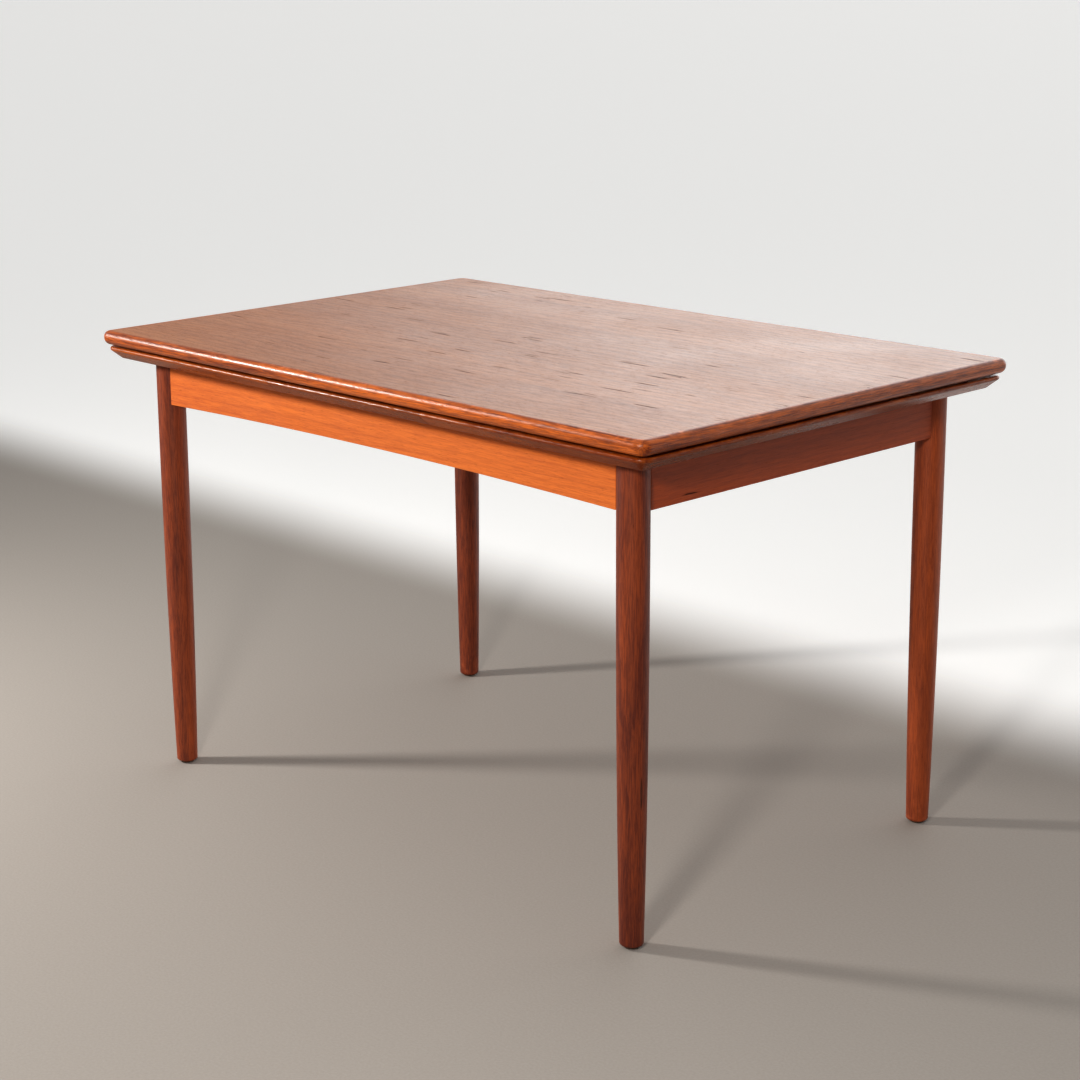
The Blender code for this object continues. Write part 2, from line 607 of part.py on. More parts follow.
def build_top(frame, hinge):
    """The loose top: a veneered panel with rounded corners inside four mitred lippings."""
    origin = Vector((0, 0, TOP_UNDERSIDE_Z)) - Vector(hinge)
    inset = TOP_LIPPING_WIDTH + FIT_GAP
    half_x, half_y = TOP_LENGTH / 2 - inset, TOP_WIDTH / 2 - inset
    radius = TOP_CORNER_RADIUS - inset
    outline = []
    for quarter, (x, y) in enumerate(((1, 1), (-1, 1), (-1, -1), (1, -1))):
        centre = (x * (half_x - radius), y * (half_y - radius))
        outline += arc(centre, radius, quarter * math.pi / 2, (quarter + 1) * math.pi / 2, 2 * CORNER_STEPS)
    panel = place("top_panel", prism("top_panel", outline, 0, TOP_THICKNESS), "teak_veneer", frame, origin)

    hole_radius = PEG_RADIUS + PEG_CLEARANCE
    blind = [(hole_radius, TOP_UNDERSIDE_Z - CUTTER_MARGIN), (hole_radius, TABLE_HEIGHT - PEG_ROOF)]
    hole = turned("blind_hole", blind)
    for side, y in (("front", -1), ("back", 1)):
        cut(panel, [place_cutter("blind_hole_" + side, hole, (0, y * PEG_Y, 0))])

    profile = top_edge_profile()
    ends = (-TOP_LENGTH / 2, True), (TOP_LENGTH / 2, True)
    long_side = lipping("top_long_lipping", profile, *ends, TOP_WIDTH / 2, TOP_CORNER_RADIUS)
    ends = (-TOP_WIDTH / 2, True), (TOP_WIDTH / 2, True)
    short_side = lipping("top_short_lipping", profile, *ends, TOP_LENGTH / 2, TOP_CORNER_RADIUS)
    place("top_lipping_front", long_side, "teak_lipping", frame, origin)
    place("top_lipping_right", short_side, "teak_lipping", frame, origin, math.pi / 2)
    place("top_lipping_back", long_side, "teak_lipping", frame, origin, math.pi)
    place("top_lipping_left", short_side, "teak_lipping", frame, origin, -math.pi / 2)


def main():
    clear_scene()
    base = make_frame("base_frame")
    leg_spaces = build_corners(base)
    build_aprons(base, leg_spaces)
    build_rails_and_board(base)

    build_leaf("right", make_frame("leaf_right_frame", (LEAF_START_X, 0, UNDERSIDE_Z)))
    build_leaf("left", make_frame("leaf_left_frame", (-LEAF_START_X, 0, UNDERSIDE_Z), math.pi))

    # The top tips about the lower edge of one end while the leaf at the other end is drawn.
    right_edge = (TOP_LENGTH / 2, 0, TOP_UNDERSIDE_Z)
    left_edge = (-TOP_LENGTH / 2, 0, TOP_UNDERSIDE_Z)
    build_pegs(make_frame("peg_hinge_frame", right_edge), right_edge)
    build_top(make_frame("top_hinge_frame", left_edge), left_edge)


main()
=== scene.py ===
"""Looks of the draw-leaf dining table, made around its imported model.

Each operator makes one group of pieces and puts it on the body that carries it. Lengths are in metres. +Z is
up, +X runs along the table and -Y is its front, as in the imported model.
"""

import json
import math

import bmesh
import bpy
from bpy.props import FloatProperty, FloatVectorProperty, IntProperty, PointerProperty
from mathutils import Matrix, Vector


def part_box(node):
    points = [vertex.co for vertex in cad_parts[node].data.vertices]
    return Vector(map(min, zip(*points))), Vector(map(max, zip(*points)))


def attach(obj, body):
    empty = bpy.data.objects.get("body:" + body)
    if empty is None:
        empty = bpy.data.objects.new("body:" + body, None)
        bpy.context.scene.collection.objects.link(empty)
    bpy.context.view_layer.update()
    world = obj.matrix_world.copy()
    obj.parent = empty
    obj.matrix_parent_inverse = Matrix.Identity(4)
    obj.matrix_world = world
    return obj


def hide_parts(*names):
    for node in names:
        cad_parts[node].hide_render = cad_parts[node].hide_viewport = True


bl_info = {
    "name": "Draw-leaf dining table",
    "version": (1, 0, 0),
    "blender": (4, 5, 0),
    "location": "View3D > Sidebar > Table",
    "description": "Makes the finished pieces of a draw-leaf dining table around its packed model",
    "category": "Object",
}

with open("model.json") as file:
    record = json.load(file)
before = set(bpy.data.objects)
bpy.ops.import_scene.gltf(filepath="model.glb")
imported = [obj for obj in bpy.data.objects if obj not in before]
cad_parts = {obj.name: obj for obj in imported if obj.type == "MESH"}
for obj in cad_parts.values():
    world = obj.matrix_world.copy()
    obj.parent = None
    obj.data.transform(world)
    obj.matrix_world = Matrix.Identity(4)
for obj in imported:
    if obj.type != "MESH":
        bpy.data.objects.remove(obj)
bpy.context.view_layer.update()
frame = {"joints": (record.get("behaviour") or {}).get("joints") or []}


# ------------------------------------------------------------------ places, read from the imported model
def span(*nodes):
    """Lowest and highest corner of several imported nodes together."""
    boxes = [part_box(node) for node in nodes]
    low = Vector([min(box[0][axis] for box in boxes) for axis in range(3)])
    high = Vector([max(box[1][axis] for box in boxes) for axis in range(3)])
    return low, high


def middle(node):
    """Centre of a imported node's box."""
    low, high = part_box(node)
    return (low + high) / 2


SIDES = {"left": -1, "right": 1}
ENDS = {"front": -1, "back": 1}
CORNERS = {f"{end}_{side}": (x, y) for end, y in ENDS.items() for side, x in SIDES.items()}
TOP_LOW, TOP_HIGH = span("top_lipping_front", "top_lipping_back", "top_lipping_left", "top_lipping_right")
LEAF_LOW, LEAF_HIGH = span("leaf_right_panel", "leaf_right_end_lipping", "leaf_right_front_lipping")
LEAF_REACH = -LEAF_LOW.y
BOARD_LOW, BOARD_HIGH = span("centre_board", "centre_board_lipping_front", "centre_board_lipping_back")
LONG_APRON_LOW, LONG_APRON_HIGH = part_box("apron_front")
LEG_LOW, LEG_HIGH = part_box("leg_front_right")
LEG_X, LEG_Y = (LEG_LOW.x + LEG_HIGH.x) / 2, -(LEG_LOW.y + LEG_HIGH.y) / 2
LEG_RADIUS = (LEG_HIGH.x - LEG_LOW.x) / 2
APRON_THICKNESS = LONG_APRON_HIGH.y - LONG_APRON_LOW.y
APRON_FACE = -LONG_APRON_LOW.y - LEG_Y  # an apron's outer face, out from the leg axis
APRON_INNER = APRON_FACE - APRON_THICKNESS
RUNNER_LOW, RUNNER_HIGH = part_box("leaf_right_runner_front")
RUNNER_WIDTH = RUNNER_HIGH.y - RUNNER_LOW.y
DRAW_AXIS = Vector(next(j["axis"] for j in frame["joints"] if j["name"] == "leaf_right_draw"))
RUNNER_SLOPE = DRAW_AXIS.z / DRAW_AXIS.x
BOLT_Z = (LONG_APRON_LOW.z + LONG_APRON_HIGH.z) / 2
PEG_Y = middle("guide_peg_front").y

# ------------------------------------------------------------------ sizes of fastenings and their holes
FIT = 0.0003  # between pieces that touch
TIGHT_FIT = 0.0002  # round a leg bolt in its leg, round a sunk screw, and between an apron and a leg
TAIL_ROOM = 0.001  # between a runner's tail and the centre board
PEG_RADIUS = 0.008
PEG_ROOM = 0.0012  # round a guide peg in its holes
SCREW_SHANK = 0.002
RUNNER_SCREW_HEAD = 0.0034
RUNNER_SCREW_PLACES = (0.04, 0.15, 0.26)  # out from a leaf's inner edge
BOLT_DEPTH = 0.018  # of a leg bolt in its leg
BOLT_PROUD = 0.004  # of a leg bolt past its nut
WASHER_RADIUS, WASHER_BORE, WASHER_THICKNESS = 0.010, 0.0043, 0.0015
NUT_CORNER, NUT_BORE, NUT_HEIGHT = 0.0075, 0.0041, 0.0065
LEG_SPACE = 0.003  # between a leg and its corner block
LAID_DOWN = Matrix.Rotation(math.pi / 2, 4, "Y")


# ------------------------------------------------------------------ sizes and colours a user may change
class TableSizes(bpy.types.PropertyGroup):
    """Shapes of edges, turnings and fastenings."""

    top_corner: FloatProperty(
        name="Top corner radius", description="Plan radius of the loose top's corners", default=0.018,
        unit="LENGTH")
    top_lipping: FloatProperty(
        name="Top lipping width", description="Solid edge round the top's veneered panel", default=0.0116,
        unit="LENGTH")
    upper_round: FloatProperty(
        name="Upper round", description="Radius along the upper edge of the top's lipping", default=0.009,
        unit="LENGTH")
    lower_round: FloatProperty(
        name="Lower round", description="Radius along the lower edge of the top's lipping", default=0.011,
        unit="LENGTH")
    leaf_lipping: FloatProperty(
        name="Leaf lipping width", description="Solid edge of a leaf and its corner radius", default=0.020,
        unit="LENGTH")
    leaf_nose: FloatProperty(
        name="Leaf nose height", description="Rounded nose above a leaf's long undercut", default=0.007,
        unit="LENGTH")
    leaf_land: FloatProperty(
        name="Leaf land", description="Flat strip between a leaf's undercut and its underside",
        default=0.001, unit="LENGTH")
    seam: FloatProperty(
        name="Seam", description="Hairline between a veneered panel and its solid edge", default=0.00006,
        unit="LENGTH")
    eased: FloatProperty(
        name="Eased edge", description="Width taken off the sharp edges of frame pieces", default=0.0012,
        unit="LENGTH")
    arch_rise: FloatProperty(
        name="Apron arch", description="Rise of a long apron's lower edge at its middle", default=0.008,
        unit="LENGTH")
    foot_radius: FloatProperty(
        name="Foot radius", description="Radius of a leg at the floor", default=0.017, unit="LENGTH")
    leg_swell: FloatProperty(
        name="Leg swell", description="Power of the leg's taper; more keeps it straighter above",
        default=2.7)
    foot_round: FloatProperty(
        name="Foot round", description="Rounding of a leg's lower edge", default=0.004, unit="LENGTH")
    leg_rings: IntProperty(
        name="Leg rings", description="Turned rings up a leg", default=72)
    leg_sides: IntProperty(
        name="Leg sides", description="Flats round a leg", default=72)
    notch_room: FloatProperty(
        name="Notch side room", description="Space each side of a runner in its notch", default=0.001,
        unit="LENGTH")
    notch_seat: FloatProperty(
        name="Notch seat room", description="Space under a runner in its notch", default=0.0005,
        unit="LENGTH")
    screw_head: FloatProperty(
        name="Screw head radius", description="Radius of a countersunk screw's head", default=0.0042,
        unit="LENGTH")
    screw_length: FloatProperty(
        name="Screw length", description="Length of a board screw", default=0.040, unit="LENGTH")
    runner_screw_length: FloatProperty(
        name="Runner screw length", description="Length of a runner's screw", default=0.016, unit="LENGTH")
    bolt_radius: FloatProperty(
        name="Bolt radius", description="Outer radius of a leg bolt's thread", default=0.004, unit="LENGTH")
    thread_pitch: FloatProperty(
        name="Thread pitch", description="Advance of a leg bolt's thread in one turn", default=0.00125,
        unit="LENGTH")


class TableColours(bpy.types.PropertyGroup):
    """Colours of the woods and small parts, as light reflected."""

    veneer_pale: FloatVectorProperty(
        name="Veneer, pale", description="Pale bands of the teak veneer", subtype="COLOR",
        default=(0.52, 0.215, 0.095))
    veneer_dark: FloatVectorProperty(
        name="Veneer, dark", description="Dark bands of the teak veneer", subtype="COLOR",
        default=(0.25, 0.085, 0.034))
    lipping_pale: FloatVectorProperty(
        name="Lipping, pale", description="Pale bands of the solid teak edges", subtype="COLOR",
        default=(0.66, 0.150, 0.013))
    lipping_dark: FloatVectorProperty(
        name="Lipping, dark", description="Dark bands of the solid teak edges", subtype="COLOR",
        default=(0.16, 0.026, 0.004))
    apron_pale: FloatVectorProperty(
        name="Apron, pale", description="Pale bands of the teak aprons", subtype="COLOR",
        default=(0.72, 0.180, 0.024))
    apron_dark: FloatVectorProperty(
        name="Apron, dark", description="Dark bands of the teak aprons", subtype="COLOR",
        default=(0.40, 0.070, 0.010))
    # The end aprons' colours are darker and redder than the long aprons': partly the wood's own tone, partly
    # painted shade from the leaves' overhang above them.
    end_apron_pale_with_shade: FloatVectorProperty(
        name="End apron, pale", description="Pale bands of the aprons at the ends", subtype="COLOR",
        default=(0.47, 0.082, 0.012))
    end_apron_dark_with_shade: FloatVectorProperty(
        name="End apron, dark", description="Dark bands of the aprons at the ends", subtype="COLOR",
        default=(0.24, 0.038, 0.007))
    leg_pale: FloatVectorProperty(
        name="Leg, pale", description="Pale bands of the turned legs", subtype="COLOR",
        default=(0.45, 0.090, 0.018))
    leg_dark: FloatVectorProperty(
        name="Leg, dark", description="Dark bands of the turned legs", subtype="COLOR",
        default=(0.12, 0.018, 0.006))
    fleck: FloatVectorProperty(
        name="Fleck", description="Dark flecks and open pores of the teak", subtype="COLOR",
        default=(0.060, 0.018, 0.009))
    beech_pale: FloatVectorProperty(
        name="Beech, pale", description="Pale bands of the beech parts", subtype="COLOR",
        default=(0.66, 0.45, 0.27))
    beech_dark: FloatVectorProperty(
        name="Beech, dark", description="Dark bands of the beech parts", subtype="COLOR",
        default=(0.50, 0.31, 0.17))
    beech_ray: FloatVectorProperty(
        name="Beech fleck", description="Short brown flecks of the beech", subtype="COLOR",
        default=(0.30, 0.15, 0.07))
    zinc: FloatVectorProperty(
        name="Zinc", description="Plated steel of the screws and bolts", subtype="COLOR",
        default=(0.60, 0.60, 0.57))
    zinc_dull: FloatVectorProperty(
        name="Dull zinc", description="Plating that has dulled with age", subtype="COLOR",
        default=(0.36, 0.34, 0.30))
    felt: FloatVectorProperty(
        name="Felt", description="Green felt under the loose top", subtype="COLOR",
        default=(0.075, 0.14, 0.065))
    glide: FloatVectorProperty(
        name="Glide", description="Brown plastic under the feet", subtype="COLOR",
        default=(0.10, 0.055, 0.030))


class TableStudio(bpy.types.PropertyGroup):
    """Floor, lights and camera."""

    floor_radius: FloatProperty(
        name="Floor radius", description="Reach of the floor", default=90.0, unit="LENGTH")
    floor_near: FloatVectorProperty(
        name="Floor", description="Floor under and round the table", subtype="COLOR",
        default=(0.345, 0.312, 0.280))
    floor_far: FloatVectorProperty(
        name="Far floor", description="Floor well behind the table", subtype="COLOR",
        default=(0.88, 0.875, 0.86))
    floor_glow: FloatProperty(
        name="Far floor glow", description="Light given off by the far floor", default=0.27)
    key_power: FloatProperty(
        name="Key light", description="Soft light at the front right", default=23.5, unit="POWER")
    side_power: FloatProperty(
        name="Side light", description="Soft light at the front left", default=46.0, unit="POWER")
    room_light: FloatProperty(
        name="Room light", description="Strength of the even light from all round", default=1.08)
    lens: FloatProperty(
        name="Lens", description="Focal length of the camera", default=76.9, unit="CAMERA")
    camera_place: FloatVectorProperty(
        name="Camera place", description="Where the camera stands", subtype="TRANSLATION",
        default=(2.523, -2.470, 1.365))
    camera_heading: FloatProperty(
        name="Camera heading", description="Turn of the camera to the left of +Y",
        default=math.radians(46.67), subtype="ANGLE")
    camera_dip: FloatProperty(
        name="Camera dip", description="How far the camera looks below level", default=math.radians(13.74),
        subtype="ANGLE")
    camera_roll: FloatProperty(
        name="Camera roll", description="Lean of the camera about its own axis",
        default=math.radians(-0.59), subtype="ANGLE")


# ------------------------------------------------------------------ mesh work
def new_piece(name, mesh, finish):
    """An object at the origin with a mesh that is already in place."""
    piece = bpy.data.objects.new(name, mesh)
    bpy.context.scene.collection.objects.link(piece)
    mesh.materials.clear()
    mesh.materials.append(bpy.data.materials[finish])
    return piece


def mesh_from(bm, name):
    bmesh.ops.remove_doubles(bm, verts=bm.verts, dist=1e-7)
    bmesh.ops.recalc_face_normals(bm, faces=bm.faces)
    mesh = bpy.data.meshes.new(name)
    bm.to_mesh(mesh)
    bm.free()
    return mesh


def skin(name, rings, hollow=False):
    """Join closed rings of points; a hollow body runs round to its first ring, any other has flat ends."""
    bm = bmesh.new()
    loops = [[bm.verts.new(point) for point in ring] for ring in rings]
    pairs = list(zip(loops, loops[1:]))
    if hollow:
        pairs.append((loops[-1], loops[0]))
    for near, far in pairs:
        for i in range(len(near)):
            j = (i + 1) % len(near)
            bm.faces.new((near[i], near[j], far[j], far[i]))
    if not hollow:
        bm.faces.new(loops[0])
        bm.faces.new(loops[-1])
    return mesh_from(bm, name)


def arc(centre, radius, start, end, steps):
    """Points from one angle to another round a centre, both ends included."""
    for step in range(steps + 1):
        angle = start + (end - start) * step / steps
        yield centre[0] + radius * math.cos(angle), centre[1] + radius * math.sin(angle)


def prism(name, outline, low, high, along):
    """Push a flat outline along one axis; its two numbers are the other two axes, in order."""
    seats = {
        "X": lambda a, b, t: (t, a, b),
        "Y": lambda a, b, t: (a, t, b),
        "Z": lambda a, b, t: (a, b, t),
    }
    return skin(name, [[seats[along](a, b, t) for a, b in outline] for t in (low, high)])


def lathe(name, profile, sides, hollow=False):
    """Turn (radius, height) pairs about Z."""
    rings = []
    for radius, height in profile:
        angles = (2 * math.pi * side / sides for side in range(sides))
        rings.append([(radius * math.cos(angle), radius * math.sin(angle), height) for angle in angles])
    return skin(name, rings, hollow)


def turned_at(name, node, profile, finish):
    """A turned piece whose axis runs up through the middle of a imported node."""
    centre = middle(node)
    mesh = lathe(name, profile, 64)
    mesh.transform(Matrix.Translation((centre.x, centre.y, 0)))
    piece = new_piece(name, mesh, finish)
    smooth(piece)
    return piece


def settle(piece):
    """Turn a piece's modifiers into plain mesh."""
    depsgraph = bpy.context.evaluated_depsgraph_get()
    settled = bpy.data.meshes.new_from_object(
        piece.evaluated_get(depsgraph), preserve_all_data_layers=True, depsgraph=depsgraph)
    settled.name = piece.name
    piece.modifiers.clear()
    piece.data = settled


def smooth(piece, sharp=35.0):
    piece.data.shade_smooth()
    piece.data.set_sharp_from_angle(angle=math.radians(sharp))


def ease(piece, width, over=35.0, segments=3):
    """Round a piece's sharp edges."""
    piece.data.shade_smooth()
    bevel = piece.modifiers.new("Eased edges", "BEVEL")
    bevel.limit_method = "ANGLE"
    bevel.angle_limit = math.radians(over)
    bevel.width = width
    bevel.segments = segments
    bevel.harden_normals = True
    settle(piece)


def bore(piece, cutters):
    """Cut holes in a piece, and drop the cutters."""
    for cutter in cutters:
        hole = piece.modifiers.new(cutter.name, "BOOLEAN")
        hole.operation = "DIFFERENCE"
        hole.solver = "EXACT"
        hole.object = cutter
    bpy.context.view_layer.update()
    settle(piece)
    for cutter in cutters:
        bpy.data.objects.remove(cutter, do_unlink=True)


def cutter_from(mesh, place=(0, 0, 0), turn=0.0):
    mesh.transform(Matrix.Translation(place) @ Matrix.Rotation(turn, 4, "Z"))
    cutter = bpy.data.objects.new("hole", mesh)
    bpy.context.scene.collection.objects.link(cutter)
    return cutter


def peg_holes(low, high):
    """Cutters for the guide pegs' two holes, from one height to another."""
    wall = PEG_RADIUS + PEG_ROOM
    return [cutter_from(lathe("hole", [(wall, low), (wall, high)], 64), (0, y, 0)) for y in (PEG_Y, -PEG_Y)]


def head_place(node):
    """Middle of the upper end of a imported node."""
    centre = middle(node)
    return centre.x, centre.y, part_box(node)[1].z


def carry(piece, body, slot, *nodes):
    """Put a finished piece on its body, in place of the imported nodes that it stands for."""
    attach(piece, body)
    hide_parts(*nodes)


def table_operator(cls):
    """Give an operator the settings that every one of this table's operators has."""
    cls.bl_options = {"REGISTER", "UNDO"}
    return cls


# ------------------------------------------------------------------ node trees
def fill(tree, sockets, values):
    """Set or link sockets, by name or number."""
    for key, value in dict(values).items():
        if isinstance(value, bpy.types.NodeSocket):
            tree.links.new(value, sockets[key])
        else:
            sockets[key].default_value = value


def put(tree, kind, values=(), **settings):
    """Add a node. values sets or links its inputs, by name or number; settings are the node's own."""
    node = tree.nodes.new(kind)
    for key, value in settings.items():
        setattr(node, key, value)
    fill(tree, node.inputs, values)
    return node


def sum_of(tree, operation, a, b=0.0, clamp=False):
    """One step of arithmetic in a node tree."""
    return put(tree, "ShaderNodeMath", {0: a, 1: b}, operation=operation, use_clamp=clamp).outputs[0]


def add(tree, a, b, clamp=False):
    return sum_of(tree, "ADD", a, b, clamp)


def less(tree, a, b, clamp=False):
    return sum_of(tree, "SUBTRACT", a, b, clamp)


def times(tree, a, b):
    return sum_of(tree, "MULTIPLY", a, b)


def over(tree, a, b):
    return sum_of(tree, "DIVIDE", a, b)


def vector_step(tree, operation, a, b):
    return put(tree, "ShaderNodeVectorMath", {0: a, 1: b}, operation=operation).outputs[0]


def new_group(name, kind, given, made):
    """A node group with named sockets: given and made are rows of (name, socket type, default)."""
    tree = bpy.data.node_groups.new(name, kind)
    for label, socket_type, default in given:
        socket = tree.interface.new_socket(label, in_out="INPUT", socket_type=socket_type)
        if default is not None:
            socket.default_value = default
    for label, socket_type in made:
        tree.interface.new_socket(label, in_out="OUTPUT", socket_type=socket_type)
    return tree, put(tree, "NodeGroupInput").outputs, put(tree, "NodeGroupOutput").inputs


def stretched_noise(tree, place, along, across, detail=2.0, roughness=0.5):
    """Noise drawn out along X: about so many changes a metre along it and across it."""
    drawn_out = vector_step(tree, "MULTIPLY", place, (along, across, across))
    values = {"Vector": drawn_out, "Scale": 1.0, "Detail": detail, "Roughness": roughness}
    return put(tree, "ShaderNodeTexNoise", values).outputs[0]


def even_noise(tree, place, scale, detail):
    values = {"Vector": place, "Scale": scale, "Detail": detail}
    return put(tree, "ShaderNodeTexNoise", values).outputs[0]


def ramp(tree, value, low, high, to_low=0.0, to_high=1.0):
    """Rise smoothly from to_low to to_high as value goes from low to high."""
    return put(tree, "ShaderNodeMapRange",
               {0: value, 1: low, 2: high, 3: to_low, 4: to_high}, interpolation_type="SMOOTHSTEP").outputs[0]


def mix_colour(tree, factor, a, b):
    mix = put(tree, "ShaderNodeMix", {0: factor, 6: a, 7: b}, data_type="RGBA")
    return mix.outputs[2]


def make_grain_group():
    """Grain of sawn or turned wood, with X along the grain: bands, growth lines, fibres, flecks and pores."""
    tree, given, out = new_group("wood_grain", "ShaderNodeTree", [
        ("Place", "NodeSocketVector", None),
        ("Pale", "NodeSocketColor", (0.5, 0.3, 0.15, 1)),
        ("Dark", "NodeSocketColor", (0.3, 0.15, 0.07, 1)),
        ("Fleck", "NodeSocketColor", (0.08, 0.03, 0.01, 1)),
        ("Band Contrast", "NodeSocketFloat", 0.5),
        ("Line Contrast", "NodeSocketFloat", 0.35),
        ("Fibre Contrast", "NodeSocketFloat", 0.45),
        ("Lines Per Metre", "NodeSocketFloat", 70.0),
        ("Waviness", "NodeSocketFloat", 0.02),
        ("Fleck Share", "NodeSocketFloat", 0.2),
        ("Pore Depth", "NodeSocketFloat", 0.5),
    ], [("Colour", "NodeSocketColor"), ("Height", "NodeSocketFloat"), ("Openness", "NodeSocketFloat")])

    place = given["Place"]
    sway = times(tree, less(tree, stretched_noise(tree, place, 2.4, 7.0), 0.5), given["Waviness"])
    shift = put(tree, "ShaderNodeCombineXYZ", {"Y": sway, "Z": sway}).outputs[0]
    swayed = vector_step(tree, "ADD", place, shift)

    bands = stretched_noise(tree, swayed, 0.9, 13.0, 3.0, 0.55)
    parts = put(tree, "ShaderNodeSeparateXYZ", {0: swayed}).outputs
    depth = times(tree, add(tree, parts[1], parts[2]), given["Lines Per Metre"])
    rings = add(tree, depth, times(tree, bands, 9.0))
    lines = sum_of(tree, "PINGPONG", rings, 1.0)
    fibres = stretched_noise(tree, swayed, 28.0, 620.0, 3.0, 0.65)
    fine = stretched_noise(tree, swayed, 45.0, 1500.0, 1.0)

    banded = times(tree, ramp(tree, bands, 0.36, 0.64), given["Band Contrast"])
    lined = times(tree, ramp(tree, lines, 0.35, 1.0), given["Line Contrast"])
    fibred = times(tree, ramp(tree, fibres, 0.36, 0.64), given["Fibre Contrast"])
    dark_share = add(tree, add(tree, banded, lined), fibred, clamp=True)
    wood = mix_colour(tree, dark_share, given["Pale"], given["Dark"])

    bent = times(tree, stretched_noise(tree, place, 14.0, 40.0, 1.0), 0.008)
    bend = put(tree, "ShaderNodeCombineXYZ", {"Y": bent, "Z": bent}).outputs[0]
    cells = vector_step(tree, "MULTIPLY", vector_step(tree, "ADD", swayed, bend), (8.0, 150.0, 150.0))
    knots = put(tree, "ShaderNodeTexVoronoi", {"Vector": cells, "Scale": 1.0})
    chosen = put(tree, "ShaderNodeSeparateColor", {0: knots.outputs["Color"]}).outputs
    length = add(tree, times(tree, chosen[1], 0.27), 0.08)
    near = less(tree, 1.0, over(tree, knots.outputs["Distance"], length), clamp=True)
    crowd = even_noise(tree, place, 3.6, 1.0)
    share = times(tree, given["Fleck Share"], ramp(tree, crowd, 0.42, 0.62, 0.25, 1.75))
    picked = sum_of(tree, "LESS_THAN", chosen[0], share)
    fleck = times(tree, ramp(tree, near, 0.0, 0.40), picked)
    fleck = times(tree, fleck, ramp(tree, fine, 0.30, 0.55, 0.45, 1.0))

    pore_noise = stretched_noise(tree, swayed, 95.0, 2100.0, 1.0)
    pores = times(tree, ramp(tree, pore_noise, 0.62, 0.74), ramp(tree, fibres, 0.35, 0.65, 0.35, 1.0))
    flecked = mix_colour(tree, fleck, wood, given["Fleck"])
    pored = mix_colour(tree, times(tree, pores, given["Pore Depth"]), flecked, given["Fleck"])

    raised = add(tree, times(tree, fine, 0.25), times(tree, fibres, 0.35))
    sunk = times(tree, times(tree, pores, given["Pore Depth"]), 1.2)
    dug = add(tree, sunk, times(tree, fleck, 1.5))
    fill(tree, out, {"Colour": pored, "Height": less(tree, raised, dug),
                     "Openness": sum_of(tree, "MAXIMUM", pores, fleck)})
    return tree


def make_sheen_group():
    """Roughness of an oiled surface: patches rubbed by hands and cloths, and dull open pores."""
    tree, given, out = new_group("rubbed_sheen", "ShaderNodeTree", [
        ("Place", "NodeSocketVector", None),
        ("Roughness", "NodeSocketFloat", 0.35),
        ("Variation", "NodeSocketFloat", 0.1),
        ("Openness", "NodeSocketFloat", 0.0),
    ], [("Roughness", "NodeSocketFloat")])
    patches = stretched_noise(tree, given["Place"], 5.0, 6.5, 4.0, 0.6)
    smears = stretched_noise(tree, given["Place"], 24.0, 90.0, 2.0, 0.5)
    mixed = add(tree, times(tree, patches, 0.65), times(tree, smears, 0.35))
    change = times(tree, less(tree, mixed, 0.5), given["Variation"])
    dull = times(tree, given["Openness"], 0.60)
    total = add(tree, add(tree, given["Roughness"], times(tree, change, 2.0)), dull)
    fill(tree, out, {"Roughness": total})
    return tree


def make_wear_group():
    """Wear in a band of height, broken up by knocks and rubbing."""
    tree, given, out = new_group("edge_wear", "ShaderNodeTree", [
        ("Place", "NodeSocketVector", None),
        ("Edge Height", "NodeSocketFloat", 0.0),
        ("Reach", "NodeSocketFloat", 0.003),
        ("Amount", "NodeSocketFloat", 0.5),
    ], [("Mask", "NodeSocketFloat")])
    height = put(tree, "ShaderNodeSeparateXYZ", {0: given["Place"]}).outputs[2]
    away = sum_of(tree, "ABSOLUTE", less(tree, height, given["Edge Height"]))
    near = less(tree, 1.0, over(tree, away, given["Reach"]), clamp=True)
    knocks = even_noise(tree, given["Place"], 85.0, 4.0)
    rubbed = even_noise(tree, given["Place"], 9.0, 2.0)
    broken = times(tree, ramp(tree, knocks, 0.48, 0.66), ramp(tree, rubbed, 0.40, 0.62))
    fill(tree, out, {"Mask": times(tree, times(tree, near, broken), given["Amount"])})
    return tree


GRAIN_TURNS = {"X": (0, 0, 0), "Y": (0, 0, -math.pi / 2), "Z": (0, math.pi / 2, 0)}


def rgba(colour):
    return (*colour, 1.0)


def new_finish(name):
    """A new material: its node tree, its shader's sockets, and the place on the piece to read patterns at."""
    finish = bpy.data.materials.new(name)
    finish.use_nodes = True
    tree = finish.node_tree
    return tree, tree.nodes["Principled BSDF"].inputs, put(tree, "ShaderNodeTexCoord").outputs["Object"]


def from_group(tree, group, values):
    """Outputs of a shared node group, placed in a tree with its inputs set or linked."""
    return put(tree, "ShaderNodeGroup", values, node_tree=group).outputs


def lightened(colour, gain, lift=0.0):
    return rgba(min(1.0, gain * channel + lift) for channel in colour)


